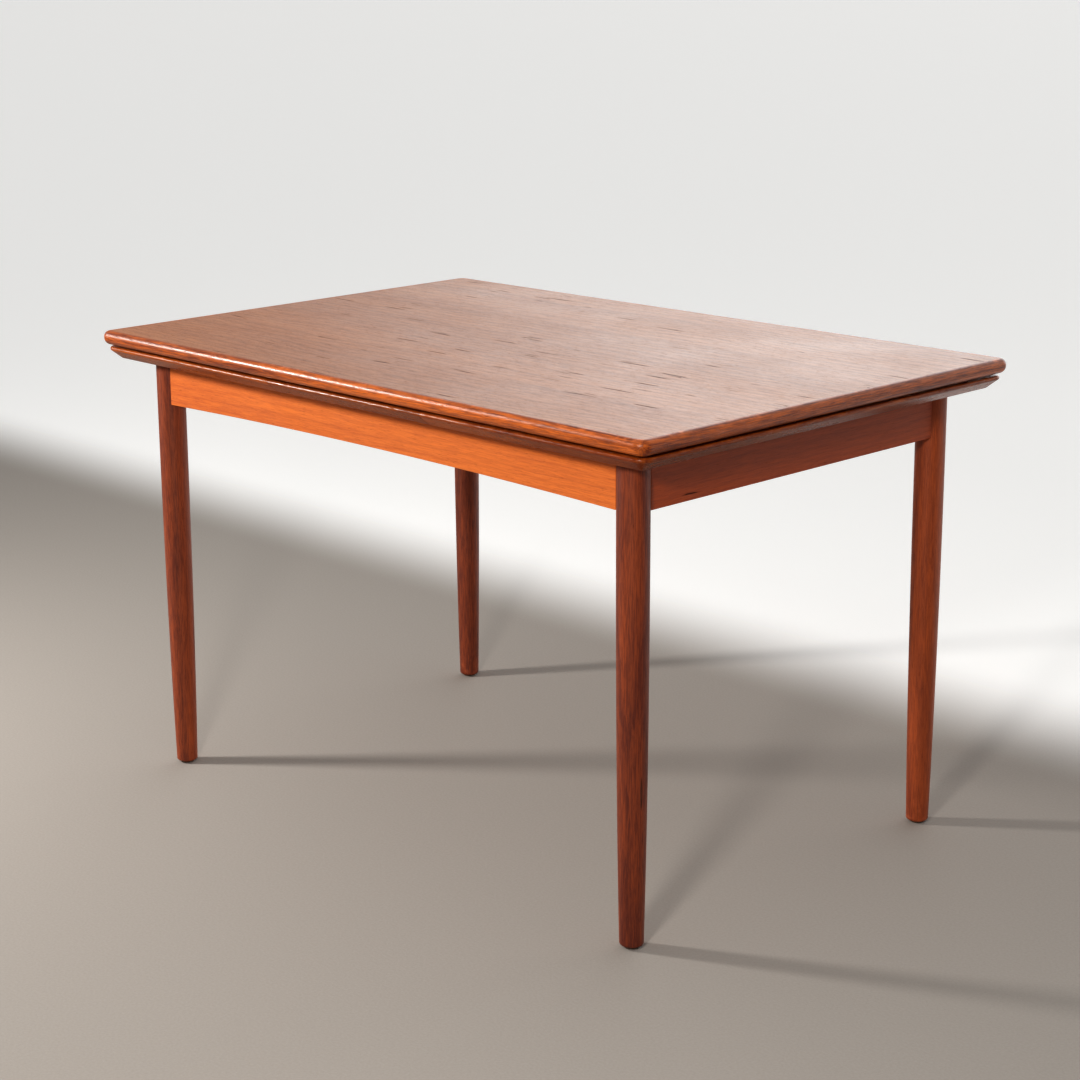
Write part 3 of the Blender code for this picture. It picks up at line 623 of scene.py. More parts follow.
def make_wood(name, groups, grain, pale, dark, fleck, roughness, coat=0.0, specular=0.5, offset=(0, 0, 0),
              band=0.5, line=0.35, fibre=0.45, lines=70.0, waviness=0.02, flecks=0.1, pores=0.5,
              relief=0.00008, wear=None):
    """A wood whose grain runs along one axis; wear is (edge height, reach, amount)."""
    tree, shader, place = new_finish(name)
    turned = {"Vector": place, "Location": offset, "Rotation": GRAIN_TURNS[grain]}
    along = put(tree, "ShaderNodeMapping", turned).outputs[0]
    grained = from_group(tree, groups["grain"], {
        "Place": along, "Pale": rgba(pale), "Dark": rgba(dark), "Fleck": rgba(fleck), "Band Contrast": band,
        "Line Contrast": line, "Fibre Contrast": fibre, "Lines Per Metre": lines, "Waviness": waviness,
        "Fleck Share": flecks, "Pore Depth": pores})
    sheen = from_group(tree, groups["sheen"], {
        "Place": along, "Roughness": roughness, "Variation": 0.10, "Openness": grained["Openness"]})
    colour = grained["Colour"]
    if wear:
        height, reach, amount = wear
        worn = from_group(tree, groups["wear"], {
            "Place": place, "Edge Height": height, "Reach": reach, "Amount": amount})
        colour = mix_colour(tree, worn["Mask"], colour, lightened(pale, 1.35, 0.04))
    bump = put(tree, "ShaderNodeBump", {"Strength": 0.9, "Distance": relief, "Height": grained["Height"]})
    fill(tree, shader, {
        "Base Color": colour, "Roughness": sheen["Roughness"], "Normal": bump.outputs[0], "IOR": 1.5,
        "Specular IOR Level": specular, "Coat Weight": coat, "Coat Roughness": 0.22})


def make_zinc(colours, groups):
    """Zinc-plated steel, dulled in patches and finely scratched."""
    tree, shader, place = new_finish("zinc_steel_finish")
    patches = even_noise(tree, place, 420.0, 4.0)
    scratches = stretched_noise(tree, place, 300.0, 4200.0, 2.0)
    colour = mix_colour(tree, ramp(tree, patches, 0.40, 0.68), rgba(colours.zinc), rgba(colours.zinc_dull))
    sheen = from_group(tree, groups["sheen"], {"Place": place, "Roughness": 0.36, "Variation": 0.2})
    bump = put(tree, "ShaderNodeBump", {"Strength": 0.6, "Distance": 0.00004, "Height": scratches})
    fill(tree, shader, {"Base Color": colour, "Roughness": sheen["Roughness"], "Normal": bump.outputs[0],
                        "Metallic": 1.0})


def make_felt(colours):
    """Pressed felt: matted fibres with paler tips."""
    tree, shader, place = new_finish("felt_finish")
    matted = put(tree, "ShaderNodeTexNoise",
                 {"Vector": place, "Scale": 900.0, "Detail": 5.0, "Roughness": 0.7}).outputs[0]
    clumps = even_noise(tree, place, 160.0, 2.0)
    tips = ramp(tree, times(tree, matted, clumps), 0.12, 0.42)
    colour = mix_colour(tree, tips, rgba(colours.felt), lightened(colours.felt, 1.9))
    bump = put(tree, "ShaderNodeBump", {"Strength": 1.0, "Distance": 0.0004, "Height": matted})
    fill(tree, shader, {
        "Base Color": colour, "Normal": bump.outputs[0], "Roughness": 0.95, "Sheen Weight": 0.35})


def make_glide(colours, groups):
    """Moulded brown plastic, scuffed near the floor."""
    tree, shader, place = new_finish("glide_finish")
    stipple = even_noise(tree, place, 1400.0, 2.0)
    worn = from_group(tree, groups["wear"], {"Place": place, "Reach": 0.002, "Amount": 0.8})
    colour = mix_colour(tree, worn["Mask"], rgba(colours.glide), lightened(colours.glide, 2.2, 0.05))
    bump = put(tree, "ShaderNodeBump", {"Strength": 0.5, "Distance": 0.00006, "Height": stipple})
    fill(tree, shader, {"Base Color": colour, "Normal": bump.outputs[0],
                        "Roughness": ramp(tree, stipple, 0.3, 0.7, 0.42, 0.60)})


@table_operator
class TABLE_OT_mix_finishes(bpy.types.Operator):
    """Make the teak, beech, steel, felt and plastic finishes"""

    bl_idname = "table.mix_finishes"
    bl_label = "Finishes"

    def execute(self, context):
        colours = context.scene.table_colours
        groups = {"grain": make_grain_group(), "sheen": make_sheen_group(), "wear": make_wear_group()}
        veneer = {"pale": colours.veneer_pale, "dark": colours.veneer_dark, "fleck": colours.fleck,
                  "roughness": 0.36, "band": 0.24, "line": 0.26, "fibre": 0.50, "lines": 110.0,
                  "waviness": 0.035, "flecks": 0.22, "pores": 0.60, "relief": 0.00016}
        make_wood("top_veneer", groups, "X", offset=(0.31, 0.12, 0.0), **veneer)
        make_wood("leaf_veneer", groups, "X", offset=(1.70, 0.43, 0.2), **veneer)
        edge = {"pale": colours.lipping_pale, "dark": colours.lipping_dark, "fleck": colours.fleck,
                "roughness": 0.35, "coat": 0.04, "band": 0.40, "line": 0.30, "fibre": 0.60, "lines": 110.0,
                "waviness": 0.012, "flecks": 0.015, "pores": 0.80, "relief": 0.00038}
        top_edge = (TOP_HIGH.z, 0.005, 0.45)
        leaf_edge = (LEAF_HIGH.z, 0.004, 0.35)
        make_wood("top_lipping_along", groups, "X", offset=(0.7, 0.2, 0.1), wear=top_edge, **edge)
        make_wood("top_lipping_across", groups, "Y", offset=(0.3, 0.9, 0.4), wear=top_edge, **edge)
        # The leaves' and centre board's edges sit under the loose top: their pale bands are darkened from the
        # top's edges as painted shade of the top over them, and the board's a step further as its own tone.
        leaf_painted_shade, board_tone_and_painted_shade = 0.66, 0.48  # of the top's edges
        edge.update(pale=[leaf_painted_shade * channel for channel in colours.lipping_pale], coat=0.0, specular=0.32,
                    roughness=0.28)
        make_wood("leaf_lipping_along", groups, "X", offset=(2.1, 0.6, 0.7), wear=leaf_edge, **edge)
        make_wood("leaf_lipping_across", groups, "Y", offset=(1.3, 0.5, 0.9), wear=leaf_edge, **edge)
        edge.update(pale=[board_tone_and_painted_shade * channel for channel in colours.lipping_pale])
        make_wood("board_lipping_along", groups, "X", offset=(0.9, 0.1, 0.2), wear=leaf_edge, **edge)
        apron = {"pale": colours.apron_pale, "dark": colours.apron_dark, "fleck": colours.fleck,
                 "roughness": 0.43, "band": 0.26, "line": 0.18, "fibre": 0.36, "lines": 160.0,
                 "waviness": 0.010, "flecks": 0.01, "pores": 0.45, "relief": 0.00012,
                 "wear": (LONG_APRON_LOW.z, 0.004, 0.30)}
        make_wood("apron_along", groups, "X", offset=(0.2, 0.0, 0.3), **apron)
        # End aprons: darker, redder colours, partly their own tone and partly painted shade under the leaves'
        # overhang.
        apron.update(pale=colours.end_apron_pale_with_shade, dark=colours.end_apron_dark_with_shade, specular=0.28)
        make_wood("apron_across", groups, "Y", offset=(0.6, 0.1, 0.8), **apron)
        make_wood("turned_teak", groups, "Z", colours.leg_pale, colours.leg_dark, colours.fleck, 0.47,
                  offset=(0.4, 0.05, 0.0), band=0.55, line=0.20, fibre=0.38, lines=60.0, waviness=0.03,
                  flecks=0.05, pores=0.45, relief=0.00009, wear=(0.0, 0.06, 0.35))
        beech = {"pale": colours.beech_pale, "dark": colours.beech_dark, "fleck": colours.beech_ray,
                 "roughness": 0.58, "band": 0.40, "line": 0.25, "lines": 80.0, "waviness": 0.015,
                 "flecks": 0.0, "pores": 0.60, "relief": 0.00010}
        for grain, name in (("X", "beech_along"), ("Y", "beech_across"), ("Z", "beech_upright")):
            make_wood(name, groups, grain, offset=(0.5, 0.3, 0.6), **beech)
        make_zinc(colours, groups)
        make_felt(colours)
        make_glide(colours, groups)
        return {"FINISHED"}


# ------------------------------------------------------------------ boards and their solid edges
def top_edge_profile(sizes):
    """Rounded edge of the loose top, as (inset, height)."""
    upper, lower, steps = sizes.upper_round, sizes.lower_round, 10
    points = [(sizes.top_lipping, TOP_LOW.z), (sizes.top_lipping, TOP_HIGH.z)]
    points += arc((upper, TOP_HIGH.z - upper), upper, math.pi / 2, math.pi, steps)
    points += arc((lower, TOP_LOW.z + lower), lower, math.pi, 3 * math.pi / 2, steps)
    return points


def leaf_edge_profile(sizes):
    """Thin rounded nose over a long undercut, as (inset, height)."""
    width, nose = sizes.leaf_lipping, sizes.leaf_nose / 2
    low, high = LEAF_LOW.z, LEAF_HIGH.z
    slope = math.atan2(high - low - sizes.leaf_nose, width - sizes.leaf_land - nose)
    points = [(width, low), (width, high)]
    points += arc((nose, high - nose), nose, math.pi / 2, 3 * math.pi / 2 - slope, 12)
    points.append((width - sizes.leaf_land, low))
    return points


def mitred_ring(profile, end_x, outward, reach, radius, seam, turn):
    """One cross-section of a solid edge, a share of the way round its corner to the mitre."""
    ring = []
    for inset, z in profile:
        left = radius - inset
        if left > seam / math.sqrt(2):
            angle = turn * (math.pi / 4 - math.asin(seam / 2 / left))
            along = left * math.sin(angle) - radius
            across = radius - left * math.cos(angle)
        else:
            along = left - seam / math.sqrt(2) - radius
            across = inset
        ring.append((end_x + outward * along, across - reach, z))
    return ring


def solid_edge(name, profile, ends, reach, radius, seam, turn, finish):
    """Run a profile along the side at -Y and turn it into place. An end is (x, mitred)."""
    rings, steps = [], 12
    for (end_x, mitred), outward in zip(ends, (-1, 1)):
        if mitred:
            part = [mitred_ring(profile, end_x, outward, reach, radius, seam, step / steps)
                    for step in range(steps + 1)]
        else:
            part = [[(end_x, inset - reach, z) for inset, z in profile]]
        rings += part[::-1] if outward < 0 else part
    mesh = skin(name, rings)
    mesh.transform(Matrix.Rotation(turn, 4, "Z"))
    piece = new_piece(name, mesh, finish)
    smooth(piece, 30.0)
    return piece


@table_operator
class TABLE_OT_make_loose_top(bpy.types.Operator):
    """Make the loose top: a veneered panel inside four rounded, mitred edges"""

    bl_idname = "table.make_loose_top"
    bl_label = "Loose top"

    def execute(self, context):
        sizes = context.scene.table_sizes
        inset = sizes.top_lipping + sizes.seam
        half_x, half_y = TOP_HIGH.x - inset, TOP_HIGH.y - inset
        radius = sizes.top_corner - inset
        outline = []
        for quarter, (x, y) in enumerate(((1, 1), (-1, 1), (-1, -1), (1, -1))):
            centre = (x * (half_x - radius), y * (half_y - radius))
            outline += arc(centre, radius, quarter * math.pi / 2, (quarter + 1) * math.pi / 2, 24)
        mesh = prism("veneered_top", outline, TOP_LOW.z, TOP_HIGH.z, "Z")
        panel = new_piece("veneered_top", mesh, "top_veneer")
        bore(panel, peg_holes(TOP_LOW.z - 0.002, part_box("guide_peg_front")[1].z + 0.001))
        carry(panel, "main_top", "teak_veneer", "top_panel")

        profile = top_edge_profile(sizes)
        for turn, side in enumerate(("front", "right", "back", "left")):
            across = turn % 2
            half, reach = (TOP_HIGH.y, TOP_HIGH.x) if across else (TOP_HIGH.x, TOP_HIGH.y)
            finish = "top_lipping_across" if across else "top_lipping_along"
            edge = solid_edge(f"top_edge_{side}", profile, ((-half, True), (half, True)), reach,
                              sizes.top_corner, sizes.seam, turn * math.pi / 2, finish)
            carry(edge, "main_top", "teak_lipping", f"top_lipping_{side}")
        return {"FINISHED"}


@table_operator
class TABLE_OT_make_leaves(bpy.types.Operator):
    """Make the two draw leaves: veneered panels with thin-nosed solid edges"""

    bl_idname = "table.make_leaves"
    bl_label = "Draw leaves"

    def execute(self, context):
        sizes = context.scene.table_sizes
        profile, width, seam = leaf_edge_profile(sizes), sizes.leaf_lipping, sizes.seam
        start, end, reach = LEAF_LOW.x, LEAF_HIGH.x, LEAF_REACH
        for side, x in SIDES.items():
            body = f"leaf_{side}"
            near, far = sorted((x * start, x * (end - width - seam)))
            across = reach - width - seam
            outline = [(near, -across), (far, -across), (far, across), (near, across)]
            mesh = prism(body, outline, LEAF_LOW.z, LEAF_HIGH.z, "Z")
            panel = new_piece(f"{body}_board", mesh, "leaf_veneer")
            ease(panel, 0.0003, segments=2)
            carry(panel, body, "teak_veneer", f"{body}_panel")
            ends = ((start, False), (end, True))
            mirrored = ((-end, True), (-start, False))
            for name, y in ENDS.items():
                turn = 0.0 if y < 0 else math.pi
                runs = ends if x * y < 0 else mirrored
                edge = solid_edge(f"{body}_edge_{name}", profile, runs, reach, width, seam, turn,
                                  "leaf_lipping_along")
                carry(edge, body, "teak_lipping", f"{body}_{name}_lipping")
            edge = solid_edge(f"{body}_edge_end", profile, ((-reach, True), (reach, True)), end, width, seam,
                              x * math.pi / 2, "leaf_lipping_across")
            carry(edge, body, "teak_lipping", f"{body}_end_lipping")
        return {"FINISHED"}


@table_operator
class TABLE_OT_make_centre_board(bpy.types.Operator):
    """Make the fixed centre board with its solid edges, peg holes and countersinks"""

    bl_idname = "table.make_centre_board"
    bl_label = "Centre board"

    def execute(self, context):
        sizes = context.scene.table_sizes
        half, reach = BOARD_HIGH.x, BOARD_HIGH.y
        across = reach - sizes.leaf_lipping - sizes.seam
        outline = [(-half, -across), (half, -across), (half, across), (-half, across)]
        mesh = prism("middle_board", outline, BOARD_LOW.z, BOARD_HIGH.z, "Z")
        board = new_piece("middle_board", mesh, "leaf_veneer")
        ease(board, 0.0003, segments=2)
        sink = screw_profile(sizes.screw_head, sizes.screw_length, room=TIGHT_FIT, above=0.001)
        sinks = [cutter_from(lathe("sink", sink, 48), head_place(f"board_screw_{corner}"))
                 for corner in CORNERS]
        bore(board, peg_holes(BOARD_LOW.z - 0.002, BOARD_HIGH.z + 0.002) + sinks)
        carry(board, "base", "teak_veneer", "centre_board")
        profile, ends = leaf_edge_profile(sizes), ((-half, False), (half, False))
        for name, y in ENDS.items():
            edge = solid_edge(f"middle_board_edge_{name}", profile, ends, reach, sizes.leaf_lipping,
                              sizes.seam, 0.0 if y < 0 else math.pi, "board_lipping_along")
            carry(edge, "base", "teak_lipping", f"centre_board_lipping_{name}")
        return {"FINISHED"}


# ------------------------------------------------------------------ Geometry Nodes: legs, screws and threads
def apply_recipe(piece, tree, values):
    """Run a Geometry Nodes tree on a piece with its named inputs set, and keep the result as plain mesh."""
    recipe = piece.modifiers.new(tree.name, "NODES")
    recipe.node_group = tree
    for item in tree.interface.items_tree:
        if item.in_out == "INPUT" and item.name in values:
            recipe[item.identifier] = values[item.name]
    bpy.context.view_layer.update()
    settle(piece)


def points_piece(name, points, finish):
    mesh = bpy.data.meshes.new(name)
    mesh.from_pydata([tuple(point) for point in points], [], [])
    return new_piece(name, mesh, finish)


def finish_instances(tree, out, instances, material):
    real = put(tree, "GeometryNodeRealizeInstances", {0: instances}).outputs[0]
    tree.links.new(put(tree, "GeometryNodeSetMaterial", {0: real, "Material": material}).outputs[0], out[0])


def make_leg_tree():
    """A turned leg on each point: slim at the foot, nearly straight above, with a rounded lower edge."""
    tree, given, out = new_group("turned_leg", "GeometryNodeTree", [
        ("Geometry", "NodeSocketGeometry", None),
        ("Height", "NodeSocketFloat", 0.686),
        ("Radius", "NodeSocketFloat", 0.0228),
        ("Foot Radius", "NodeSocketFloat", 0.017),
        ("Swell", "NodeSocketFloat", 2.7),
        ("Foot Round", "NodeSocketFloat", 0.004),
        ("Rings", "NodeSocketInt", 72),
        ("Sides", "NodeSocketInt", 72),
        ("Finish", "NodeSocketMaterial", None),
    ], [("Geometry", "NodeSocketGeometry")])
    line = put(tree, "GeometryNodeCurvePrimitiveLine", {"End": (0, 0, 1)}).outputs[0]
    rings = put(tree, "GeometryNodeResampleCurve", {"Curve": line, "Count": given["Rings"]}).outputs[0]
    share = sum_of(tree, "POWER", put(tree, "GeometryNodeSplineParameter").outputs["Factor"], 2.2)
    height = times(tree, share, given["Height"])
    place = put(tree, "ShaderNodeCombineXYZ", {"Z": height}).outputs[0]
    axis = put(tree, "GeometryNodeSetPosition", {0: rings, "Position": place}).outputs[0]

    taken = put(tree, "GeometryNodeInputPosition").outputs[0]
    up = put(tree, "ShaderNodeSeparateXYZ", {0: taken}).outputs[2]
    left = less(tree, 1.0, over(tree, up, given["Height"]), clamp=True)
    slimming = times(tree, less(tree, given["Radius"], given["Foot Radius"]),
                     sum_of(tree, "POWER", left, given["Swell"]))
    below = less(tree, 1.0, over(tree, up, given["Foot Round"]), clamp=True)
    chord = sum_of(tree, "SQRT", less(tree, 1.0, times(tree, below, below), clamp=True))
    rounding = times(tree, less(tree, 1.0, chord), given["Foot Round"])
    radius = less(tree, less(tree, given["Radius"], slimming), rounding)

    circle = put(tree, "GeometryNodeCurvePrimitiveCircle", {"Resolution": given["Sides"], "Radius": 1.0})
    leg = put(tree, "GeometryNodeCurveToMesh", {
        "Curve": axis, "Profile Curve": circle.outputs[0], "Scale": radius, "Fill Caps": True}).outputs[0]
    stood = put(tree, "GeometryNodeInstanceOnPoints", {"Points": given["Geometry"], "Instance": leg})
    finish_instances(tree, out, stood.outputs[0], given["Finish"])
    return tree


def make_screw_row_tree():
    """A screw on each point, its head facing one way and its slot turned at random."""
    tree, given, out = new_group("screw_row", "GeometryNodeTree", [
        ("Geometry", "NodeSocketGeometry", None),
        ("Screw", "NodeSocketObject", None),
        ("Facing", "NodeSocketVector", (0, 0, 1)),
        ("Seed", "NodeSocketInt", 7),
        ("Finish", "NodeSocketMaterial", None),
    ], [("Geometry", "NodeSocketGeometry")])
    screw = put(tree, "GeometryNodeObjectInfo", {"Object": given["Screw"]}).outputs["Geometry"]
    spin = put(tree, "FunctionNodeRandomValue", {2: 0.0, 3: 2 * math.pi, 8: given["Seed"]}).outputs[1]
    turned = put(tree, "ShaderNodeCombineXYZ", {"Z": spin}).outputs[0]
    spun = put(tree, "FunctionNodeEulerToRotation", {0: turned}).outputs[0]
    faced = put(tree, "FunctionNodeAlignRotationToVector", {0: spun, 2: given["Facing"]}, axis="Z").outputs[0]
    driven = put(tree, "GeometryNodeInstanceOnPoints",
                 {"Points": given["Geometry"], "Instance": screw, "Rotation": faced}).outputs[0]
    finish_instances(tree, out, driven, given["Finish"])
    return tree


def make_thread_tree():
    """A threaded shank up Z from each point."""
    tree, given, out = new_group("threaded_shank", "GeometryNodeTree", [
        ("Geometry", "NodeSocketGeometry", None),
        ("Radius", "NodeSocketFloat", 0.004),
        ("Length", "NodeSocketFloat", 0.04),
        ("Pitch", "NodeSocketFloat", 0.00125),
        ("Finish", "NodeSocketMaterial", None),
    ], [("Geometry", "NodeSocketGeometry")])
    ridge = times(tree, given["Pitch"], 0.42)
    crest = less(tree, given["Radius"], ridge)
    run = less(tree, given["Length"], times(tree, given["Pitch"], 2.0))
    turns = over(tree, run, given["Pitch"])
    helix = put(tree, "GeometryNodeCurveSpiral", {"Resolution": 14, "Rotations": turns, "Start Radius": crest,
                                                  "End Radius": crest, "Height": run}).outputs[0]
    section = put(tree, "GeometryNodeCurvePrimitiveCircle", {"Resolution": 4, "Radius": ridge}).outputs[0]
    thread = put(tree, "GeometryNodeCurveToMesh",
                 {"Curve": helix, "Profile Curve": section, "Fill Caps": True}).outputs[0]
    lift = put(tree, "ShaderNodeCombineXYZ", {"Z": given["Pitch"]}).outputs[0]
    thread = put(tree, "GeometryNodeTransform", {"Geometry": thread, "Translation": lift}).outputs[0]
    core = put(tree, "GeometryNodeMeshCylinder", {"Vertices": 24, "Radius": crest, "Depth": given["Length"]})
    half = put(tree, "ShaderNodeCombineXYZ", {"Z": times(tree, given["Length"], 0.5)}).outputs[0]
    core = put(tree, "GeometryNodeTransform", {"Geometry": core.outputs[0], "Translation": half}).outputs[0]
    joined = put(tree, "GeometryNodeJoinGeometry", {0: core})
    tree.links.new(thread, joined.inputs[0])
    placed = put(tree, "GeometryNodeInstanceOnPoints",
                 {"Points": given["Geometry"], "Instance": joined.outputs[0]}).outputs[0]
    finish_instances(tree, out, placed, given["Finish"])
    return tree


@table_operator
class TABLE_OT_turn_legs(bpy.types.Operator):
    """Turn the four legs, each with the hole for its bolt"""

    bl_idname = "table.turn_legs"
    bl_label = "Legs"

    def execute(self, context):
        sizes = context.scene.table_sizes
        tree = make_leg_tree()
        wall = sizes.bolt_radius + TIGHT_FIT
        for corner, (x, y) in CORNERS.items():
            low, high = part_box(f"leg_{corner}")
            leg = points_piece(f"turned_leg_{corner}", [(x * LEG_X, y * LEG_Y, low.z)], "turned_teak")
            apply_recipe(leg, tree, {
                "Height": high.z - low.z, "Radius": LEG_RADIUS, "Foot Radius": sizes.foot_radius,
                "Swell": sizes.leg_swell, "Foot Round": sizes.foot_round, "Rings": sizes.leg_rings,
                "Sides": sizes.leg_sides, "Finish": bpy.data.materials["turned_teak"]})
            hole = lathe("hole", [(wall, LEG_RADIUS - BOLT_DEPTH), (wall, LEG_RADIUS + 0.004)], 32)
            hole.transform(LAID_DOWN)
            bore(leg, [cutter_from(hole, (x * LEG_X, y * LEG_Y, BOLT_Z), math.atan2(-y, -x))])
            smooth(leg)
            carry(leg, "base", "teak_leg", f"leg_{corner}")
        return {"FINISHED"}


# ------------------------------------------------------------------ aprons, rails and slides
def cope(offset):
    """How far from a leg's axis an apron ends, at an offset to one side of that axis."""
    return math.sqrt((LEG_RADIUS + TIGHT_FIT) ** 2 - offset ** 2)


def runner_bottom(x):
    """Height of the right leaf's runners' lower face, which is parallel to the draw."""
    return RUNNER_LOW.z + (x - RUNNER_LOW.x) * RUNNER_SLOPE


def runner_tail_top(x):
    """Height of the runner tail's upper face, which slides under the centre board."""
    return LEAF_LOW.z - TAIL_ROOM + (x - LEAF_LOW.x) * RUNNER_SLOPE


def runner_rows(side):
    """Middle lines of one leaf's two runners."""
    for end in ENDS:
        low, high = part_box(f"leaf_{side}_runner_{end}")
        yield (low.y + high.y) / 2


def notched(outline, notches, top):
    """Let notches of (low y, high y, floor) down into an outline that ends at its upper edge."""
    for low, high, floor in sorted(notches, reverse=True):
        outline += [(high, top), (high, floor), (low, floor), (low, top)]
    return outline


@table_operator
class TABLE_OT_make_aprons(bpy.types.Operator):
    """Make the arched long aprons and the notched end aprons, coped to the round legs"""

    bl_idname = "table.make_aprons"
    bl_label = "Aprons"

    def execute(self, context):
        sizes = context.scene.table_sizes
        through, steps = 10, 48  # layers through an apron, and steps along its arch
        layers = [APRON_INNER + APRON_THICKNESS * step / through for step in range(through + 1)]
        low, top = LONG_APRON_LOW.z, LONG_APRON_HIGH.z
        for name, y in ENDS.items():
            rings = []
            for offset in layers:
                end = LEG_X - cope(offset)
                ring = [(end, y * (LEG_Y + offset), top), (-end, y * (LEG_Y + offset), top)]
                for step in range(steps + 1):
                    x = -end + 2 * end * step / steps
                    rise = sizes.arch_rise * (1 - (x / LEG_X) ** 2)
                    ring.append((x, y * (LEG_Y + offset), low + rise))
                rings.append(ring)
            apron = new_piece(f"long_apron_{name}", skin(name, rings), "apron_along")
            ease(apron, sizes.eased)
            carry(apron, "base", "teak_frame", f"apron_{name}")

        floor = runner_bottom(LEG_X + APRON_INNER) - sizes.notch_seat
        reach = RUNNER_WIDTH / 2 + sizes.notch_room
        for name, x in SIDES.items():
            notches = [(y - reach, y + reach, floor) for y in runner_rows(name)]
            rings = []
            for offset in layers:
                end = LEG_Y - cope(offset)
                outline = notched([(-end, top), (-end, low), (end, low), (end, top)], notches, top)
                rings.append([(x * (LEG_X + offset), across, z) for across, z in outline])
            # The end aprons' finish carries painted shade as well as their own darker tone.
            apron = new_piece(f"end_apron_{name}", skin(name, rings), "apron_across")
            ease(apron, sizes.eased)
            carry(apron, "base", "teak_frame", f"apron_{name}")
        return {"FINISHED"}


@table_operator
class TABLE_OT_make_slides(bpy.types.Operator):
    """Make the beech cross rails, the sloping runners and their stops"""

    bl_idname = "table.make_slides"
    bl_label = "Rails and runners"

    def execute(self, context):
        sizes = context.scene.table_sizes
        reach = RUNNER_WIDTH / 2 + sizes.notch_room
        stop_low, stop_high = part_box("leaf_right_stop_front")
        stop_room = stop_high.y - stop_low.y + FIT
        for name, x in SIDES.items():
            low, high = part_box(f"cross_rail_{name}")
            notches = []
            for leaf, side in SIDES.items():
                inner = min(side * low.x, side * high.x)
                for y in runner_rows(leaf):
                    near, far = y - reach, y + reach
                    if side != x:
                        near, far = (near - stop_room, far) if y > 0 else (near, far + stop_room)
                    notches.append((near, far, runner_bottom(inner) - sizes.notch_seat))
            outline = [(low.y, high.z), (low.y, low.z), (high.y, low.z), (high.y, high.z)]
            mesh = prism(name, notched(outline, notches, high.z), low.x, high.x, "X")
            rail = new_piece(f"beech_rail_{name}", mesh, "beech_across")
            ease(rail, sizes.eased)
            carry(rail, "base", "beech", f"cross_rail_{name}")

        tail, end, start = RUNNER_LOW.x, RUNNER_HIGH.x, LEAF_LOW.x
        seat = RUNNER_HIGH.z
        outline = [(end, seat), (start, seat), (start, runner_tail_top(start)), (tail, runner_tail_top(tail)),
                   (tail, runner_bottom(tail)), (end, runner_bottom(end))]
        inset = stop_low.z - runner_bottom(stop_low.x)
        block = [(x, runner_bottom(x) + inset) for x in (stop_low.x, stop_high.x)]
        block += [(x, runner_tail_top(x) - inset) for x in (stop_high.x, stop_low.x)]
        for side, x in SIDES.items():
            for name in ENDS:
                for kind, made, points in (("runner", "slide", outline), ("stop", "slide_stop", block)):
                    node = f"leaf_{side}_{kind}_{name}"
                    low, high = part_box(node)
                    mesh = prism(node, [(x * along, z) for along, z in points], low.y, high.y, "Y")
                    piece = new_piece(f"leaf_{side}_{made}_{name}", mesh, "beech_along")
                    ease(piece, sizes.eased * 0.8)
                    carry(piece, f"leaf_{side}", "beech", node)
        return {"FINISHED"}


# ------------------------------------------------------------------ fastenings and small parts
def screw_profile(head, length, room=0.0, above=0.0):
    """Countersunk screw from its head down to its point; room makes its hole."""
    rim, shank = 0.0004, SCREW_SHANK
    return [(head + room, above), (head + room, -rim - room), (shank + room, -rim - (head - shank) - room),
            (shank + room, -0.8 * length), (0.3 * shank + room, -length - room)]


def slotted_screw(name, head, length):
    """A countersunk screw with a straight slot, its head at the origin facing +Z."""
    screw = new_piece(name, lathe(name, screw_profile(head, length), 32), "zinc_steel_finish")
    slot = bpy.data.meshes.new("slot")
    bm = bmesh.new()
    bmesh.ops.create_cube(bm, size=1.0)
    bmesh.ops.scale(bm, vec=(2.4 * head, 0.0009, 0.0020), verts=bm.verts)
    bm.to_mesh(slot)
    bm.free()
    bore(screw, [cutter_from(slot)])
    smooth(screw)
    return screw


@table_operator
class TABLE_OT_drive_screws(bpy.types.Operator):
    """Drive the centre board's screws and the screws that hold the runners to the leaves"""

    bl_idname = "table.drive_screws"
    bl_label = "Screws"

    def execute(self, context):
        sizes = context.scene.table_sizes
        tree = make_screw_row_tree()
        steel = bpy.data.materials["zinc_steel_finish"]
        nodes = [f"board_screw_{corner}" for corner in CORNERS]
        master = slotted_screw("master_screw", sizes.screw_head, sizes.screw_length)
        row = points_piece("board_screws", [head_place(node) for node in nodes], "zinc_steel_finish")
        apply_recipe(row, tree, {"Screw": master, "Facing": (0, 0, 1), "Seed": 3, "Finish": steel})
        smooth(row)
        carry(row, "base", "zinc_steel", *nodes)
        bpy.data.objects.remove(master, do_unlink=True)

        master = slotted_screw("master_screw", RUNNER_SCREW_HEAD, sizes.runner_screw_length)
        for side, x in SIDES.items():
            places = [LEAF_LOW.x + place for place in RUNNER_SCREW_PLACES]
            heads = [(x * place, y, runner_bottom(place) - FIT / 2)
                     for y in runner_rows(side) for place in places]
            row = points_piece(f"leaf_{side}_slide_screws", heads, "zinc_steel_finish")
            facing = (x * RUNNER_SLOPE, 0, -1)
            apply_recipe(row, tree, {"Screw": master, "Facing": facing, "Seed": 11 + x, "Finish": steel})
            smooth(row)
            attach(row, f"leaf_{side}")
        bpy.data.objects.remove(master, do_unlink=True)
        return {"FINISHED"}


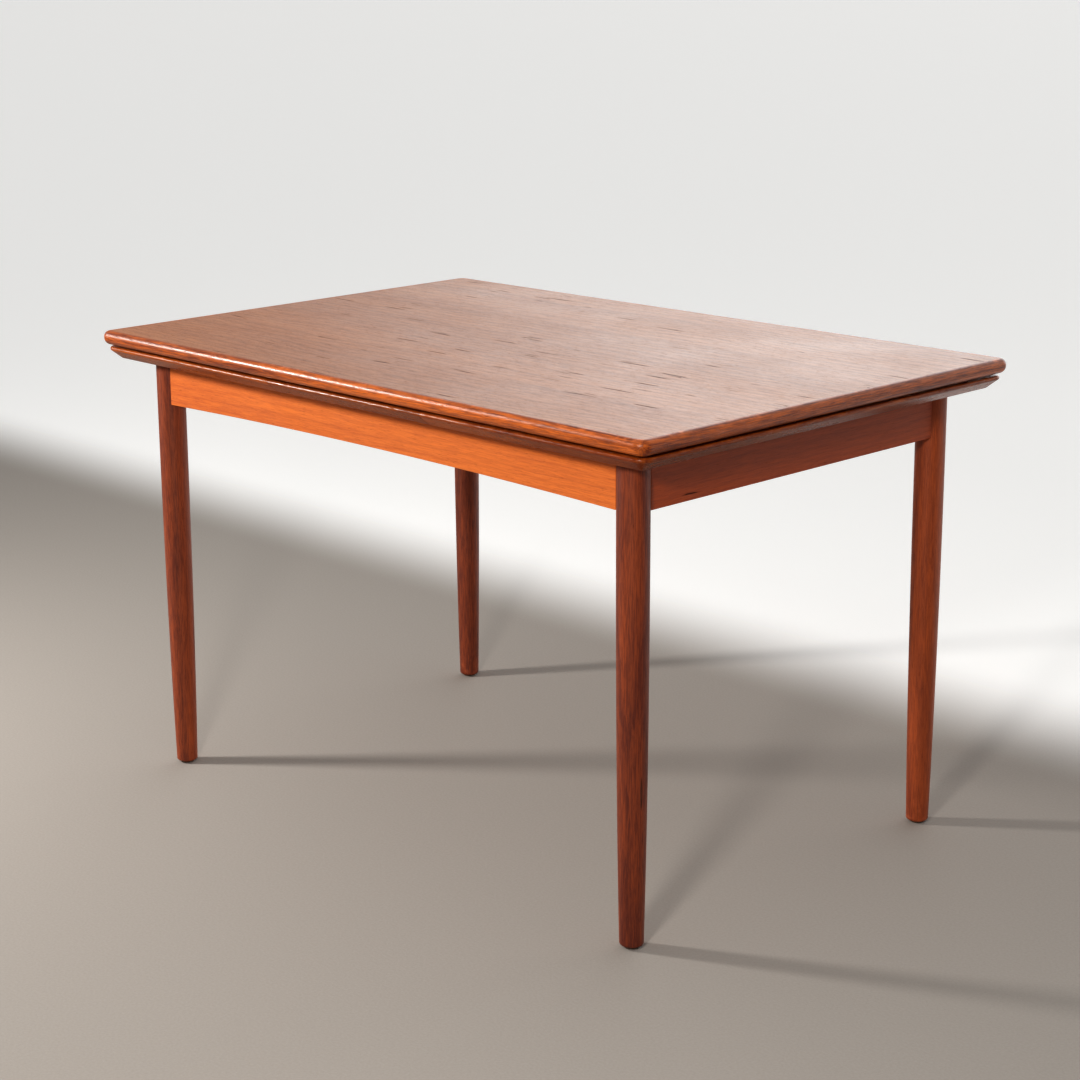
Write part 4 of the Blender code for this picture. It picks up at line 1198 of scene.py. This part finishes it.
def hex_nut(name, finish):
    """A hexagon nut up Z from the origin, its corners chamfered at both faces."""
    flat = NUT_CORNER * math.cos(math.pi / 6)
    face, slope, edge, sides = 0.96 * flat, math.tan(math.radians(30)), 0.0004, 72
    angles = [2 * math.pi * side / sides for side in range(sides)]
    outers = [flat / math.cos((angle + math.pi / 6) % (math.pi / 3) - math.pi / 6) for angle in angles]

    def ring(radii, heights):
        return [(r * math.cos(angle), r * math.sin(angle), z) for angle, r, z in zip(angles, radii, heights)]

    def circle(radius, height):
        return ring([radius] * sides, [height] * sides)

    drops = [(outer - face) * slope for outer in outers]
    rings = [
        circle(NUT_BORE, edge), circle(NUT_BORE + edge, 0.0), circle(face, 0.0),
        ring(outers, drops), ring(outers, [NUT_HEIGHT - drop for drop in drops]),
        circle(face, NUT_HEIGHT), circle(NUT_BORE + edge, NUT_HEIGHT), circle(NUT_BORE, NUT_HEIGHT - edge),
    ]
    piece = new_piece(name, skin(name, rings, hollow=True), finish)
    smooth(piece, 25.0)
    return piece


@table_operator
class TABLE_OT_make_corner_joints(bpy.types.Operator):
    """Make the corner blocks and the threaded leg bolts with their washers and nuts"""

    bl_idname = "table.make_corner_joints"
    bl_label = "Corner joints"

    def execute(self, context):
        sizes = context.scene.table_sizes
        thread = make_thread_tree()
        seat, bore_radius = APRON_INNER - FIT, sizes.bolt_radius + FIT
        for corner, (x, y) in CORNERS.items():
            inward = math.atan2(-y, -x)
            axis = Vector((x * LEG_X, y * LEG_Y, BOLT_Z))
            low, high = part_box(f"corner_block_{corner}")
            near = math.sqrt(2) * (LEG_RADIUS + LEG_SPACE) + seat
            far = max(abs(low.x - axis.x), abs(high.x - axis.x))
            local = [(near, -seat), (far, -seat), (-seat, far), (-seat, near)]
            outline = [(axis.x - x * a, axis.y - y * b) for a, b in local]
            mesh = prism(corner, outline, low.z, high.z, "Z")
            block = new_piece(f"beech_block_{corner}", mesh, "beech_upright")
            ease(block, sizes.eased)
            inner_face = (far - seat) / math.sqrt(2)
            hole = lathe("hole", [(bore_radius, LEG_RADIUS), (bore_radius, inner_face + 0.01)], 32)
            hole.transform(LAID_DOWN)
            bore(block, [cutter_from(hole, axis, inward)])
            carry(block, "base", "beech", f"corner_block_{corner}")

            laid = Matrix.Translation(axis) @ Matrix.Rotation(inward, 4, "Z") @ LAID_DOWN
            bolt_start = LEG_RADIUS - BOLT_DEPTH + FIT
            washer_start = inner_face + FIT
            nut_start = washer_start + WASHER_THICKNESS
            bolt_end = nut_start + NUT_HEIGHT + BOLT_PROUD
            bolt = points_piece(f"threaded_bolt_{corner}", [(0, 0, bolt_start)], "zinc_steel_finish")
            apply_recipe(bolt, thread, {
                "Radius": sizes.bolt_radius, "Length": bolt_end - bolt_start, "Pitch": sizes.thread_pitch,
                "Finish": bpy.data.materials["zinc_steel_finish"]})
            bolt.data.transform(laid)
            smooth(bolt, 40.0)
            carry(bolt, "base", "zinc_steel", f"leg_bolt_{corner}")
            edge, rim = 0.0003, WASHER_RADIUS
            disc = [(WASHER_BORE, washer_start), (rim - edge, washer_start), (rim, washer_start + edge),
                    (rim, nut_start - edge), (rim - edge, nut_start), (WASHER_BORE, nut_start)]
            mesh = lathe("washer", disc, 64, hollow=True)
            washer = new_piece(f"washer_{corner}", mesh, "zinc_steel_finish")
            washer.data.transform(laid)
            smooth(washer, 30.0)
            nut = hex_nut(f"nut_{corner}", "zinc_steel_finish")
            nut.data.transform(laid @ Matrix.Translation((0, 0, nut_start)))
            for piece in (washer, nut):
                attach(piece, "base")
        return {"FINISHED"}


@table_operator
class TABLE_OT_make_guide_pegs(bpy.types.Operator):
    """Turn the two loose guide pegs with their collars"""

    bl_idname = "table.make_guide_pegs"
    bl_label = "Guide pegs"

    def execute(self, context):
        radius, tip, edge, thickness = PEG_RADIUS, 0.0022, 0.0004, 0.0022
        for name in ENDS:
            node = f"guide_peg_{name}"
            low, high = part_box(node)
            collar, collar_low = (high.x - low.x) / 2, BOARD_HIGH.z + FIT
            collar_high = collar_low + thickness
            profile = [*arc((radius - tip, low.z + tip), tip, -math.pi / 2, 0, 6), (radius, collar_low),
                       (collar - edge, collar_low), (collar, collar_low + edge), (collar, collar_high - edge),
                       (collar - edge, collar_high), (radius, collar_high),
                       *arc((radius - tip, high.z - tip), tip, 0, math.pi / 2, 6)]
            peg = turned_at(f"turned_peg_{name}", node, profile, "beech_upright")
            carry(peg, "guide_pegs", "beech", node)
        return {"FINISHED"}


@table_operator
class TABLE_OT_fit_pads_and_glides(bpy.types.Operator):
    """Fit the felt pads on the centre board and the plastic glides under the legs"""

    bl_idname = "table.fit_pads_and_glides"
    bl_label = "Felt pads and glides"

    def execute(self, context):
        soft, edge = 0.0008, 0.0012
        nail, rim, dish = 0.0025, 0.0035, 0.0006  # a glide's nail sits in a dished rim
        for corner in CORNERS:
            node = f"felt_pad_{corner}"
            low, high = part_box(node)
            radius = (high.x - low.x) / 2
            profile = [(radius - 0.0003, low.z),
                       *arc((radius - soft, high.z - soft), soft, 0, math.pi / 2, 6)]
            carry(turned_at(f"felt_disc_{corner}", node, profile, "felt_finish"), "base", "felt", node)

            node = f"foot_glide_{corner}"
            low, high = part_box(node)
            radius = (high.x - low.x) / 2
            profile = [(nail, low.z + dish), (rim, low.z),
                       *arc((radius - edge, low.z + edge), edge, -math.pi / 2, 0, 6), (radius, high.z)]
            glide = turned_at(f"nailed_glide_{corner}", node, profile, "glide_finish")
            carry(glide, "base", "glide_plastic", node)
        return {"FINISHED"}


# ------------------------------------------------------------------ stage
def make_floor(studio):
    """A wide floor with a short pile, pale and faintly glowing well behind the table."""
    tree, shader, place = new_finish("studio_floor")
    away = put(tree, "ShaderNodeSeparateXYZ", {0: place}).outputs[1]
    pile = even_noise(tree, place, 260.0, 3.0)
    near = mix_colour(tree, pile, lightened(studio.floor_near, 0.90), lightened(studio.floor_near, 1.10))
    far = ramp(tree, away, 0.62, 1.05)
    bump = put(tree, "ShaderNodeBump", {"Strength": 0.3, "Distance": 0.001, "Height": pile})
    fill(tree, shader, {
        "Base Color": mix_colour(tree, far, near, rgba(studio.floor_far)), "Normal": bump.outputs[0],
        "Emission Color": mix_colour(tree, far, (0, 0, 0, 1), rgba(studio.floor_far)),
        "Emission Strength": studio.floor_glow, "Roughness": 0.9})
    sides, reach = 96, studio.floor_radius
    angles = [2 * math.pi * side / sides for side in range(sides)]
    rim = [(reach * math.cos(angle), reach * math.sin(angle), 0.0) for angle in angles]
    mesh = bpy.data.meshes.new("floor")
    mesh.from_pydata(rim, [], [list(range(sides))])
    new_piece("floor", mesh, "studio_floor")


def make_soft_light(name, place, aim, size, power, colour):
    light = bpy.data.lights.new(name, "AREA")
    light.shape = "DISK"
    light.size = size
    light.energy = power
    light.color = colour
    lamp = bpy.data.objects.new(name, light)
    lamp.location = place
    lamp.rotation_euler = (Vector(aim) - Vector(place)).to_track_quat("-Z", "Y").to_euler()
    bpy.context.scene.collection.objects.link(lamp)


def make_room_light(strength):
    """Pale light from all round, brighter from behind the table and dim towards the left."""
    world = bpy.data.worlds.new("room_light")
    world.use_nodes = True
    bpy.context.scene.world = world
    tree = world.node_tree
    towards = put(tree, "ShaderNodeTexCoord").outputs["Generated"]
    heading = math.radians(100)
    bright_side = (math.cos(heading), math.sin(heading), 0.0)
    facing = put(tree, "ShaderNodeVectorMath", {0: towards, 1: bright_side}, operation="DOT_PRODUCT")
    bright = ramp(tree, facing.outputs["Value"], 0.68, 0.88, 0.18, 2.40)
    level = put(tree, "ShaderNodeCombineColor", {0: bright, 1: bright, 2: bright}).outputs[0]
    up = put(tree, "ShaderNodeSeparateXYZ", {0: towards}).outputs[2]
    overhead = ramp(tree, up, 0.15, 0.8)
    colour = mix_colour(tree, overhead, level, (0.38, 0.38, 0.38, 1.0))
    fill(tree, tree.nodes["Background"].inputs, {"Color": colour, "Strength": strength})


@table_operator
class TABLE_OT_set_studio(bpy.types.Operator):
    """Lay the floor, set the soft lights and place the camera"""

    bl_idname = "table.set_studio"
    bl_label = "Studio"

    def execute(self, context):
        studio = context.scene.table_studio
        make_floor(studio)
        lamp_size = 0.30
        make_soft_light("key_light", (1.33, -2.10, 1.48), (0.0, -0.1, 0.50), lamp_size, studio.key_power,
                        (1.0, 0.97, 0.93))
        make_soft_light("side_light", (-1.78, -1.57, 1.38), (0.0, 0.0, 0.50), lamp_size, studio.side_power,
                        (1.0, 0.98, 0.95))
        make_room_light(studio.room_light)
        lens = bpy.data.cameras.new("camera")
        lens.lens = studio.lens
        lens.shift_x, lens.shift_y = 0.0420, -0.0462
        camera = bpy.data.objects.new("camera", lens)
        turn = Matrix.Rotation(studio.camera_heading, 4, "Z") @ Matrix.Rotation(
            math.pi / 2 - studio.camera_dip, 4, "X") @ Matrix.Rotation(studio.camera_roll, 4, "Z")
        camera.matrix_world = Matrix.Translation(studio.camera_place) @ turn
        context.scene.collection.objects.link(camera)
        context.scene.camera = camera
        context.scene.view_settings.view_transform = "Standard"
        context.scene.view_settings.look = "Medium High Contrast"
        return {"FINISHED"}


# ------------------------------------------------------------------ panel and registration
OPERATORS = (
    TABLE_OT_mix_finishes,
    TABLE_OT_make_loose_top,
    TABLE_OT_make_leaves,
    TABLE_OT_make_centre_board,
    TABLE_OT_turn_legs,
    TABLE_OT_make_aprons,
    TABLE_OT_make_slides,
    TABLE_OT_make_corner_joints,
    TABLE_OT_drive_screws,
    TABLE_OT_make_guide_pegs,
    TABLE_OT_fit_pads_and_glides,
    TABLE_OT_set_studio,
)


class TABLE_PT_maker(bpy.types.Panel):
    """Buttons for the table's pieces and its studio"""

    bl_idname = "TABLE_PT_maker"
    bl_label = "Draw-leaf table"
    bl_space_type = "VIEW_3D"
    bl_region_type = "UI"
    bl_category = "Table"

    def draw(self, context):
        for operator in OPERATORS:
            self.layout.operator(operator.bl_idname)


CLASSES = (TableSizes, TableColours, TableStudio, *OPERATORS, TABLE_PT_maker)


def register():
    for cls in CLASSES:
        bpy.utils.register_class(cls)
    bpy.types.Scene.table_sizes = PointerProperty(type=TableSizes)
    bpy.types.Scene.table_colours = PointerProperty(type=TableColours)
    bpy.types.Scene.table_studio = PointerProperty(type=TableStudio)


def unregister():
    del bpy.types.Scene.table_studio
    del bpy.types.Scene.table_colours
    del bpy.types.Scene.table_sizes
    for cls in reversed(CLASSES):
        bpy.utils.unregister_class(cls)


def main():
    register()
    for operator in OPERATORS:
        getattr(bpy.ops.table, operator.bl_idname.split(".")[1])()


if __name__ == "__main__":
    main()
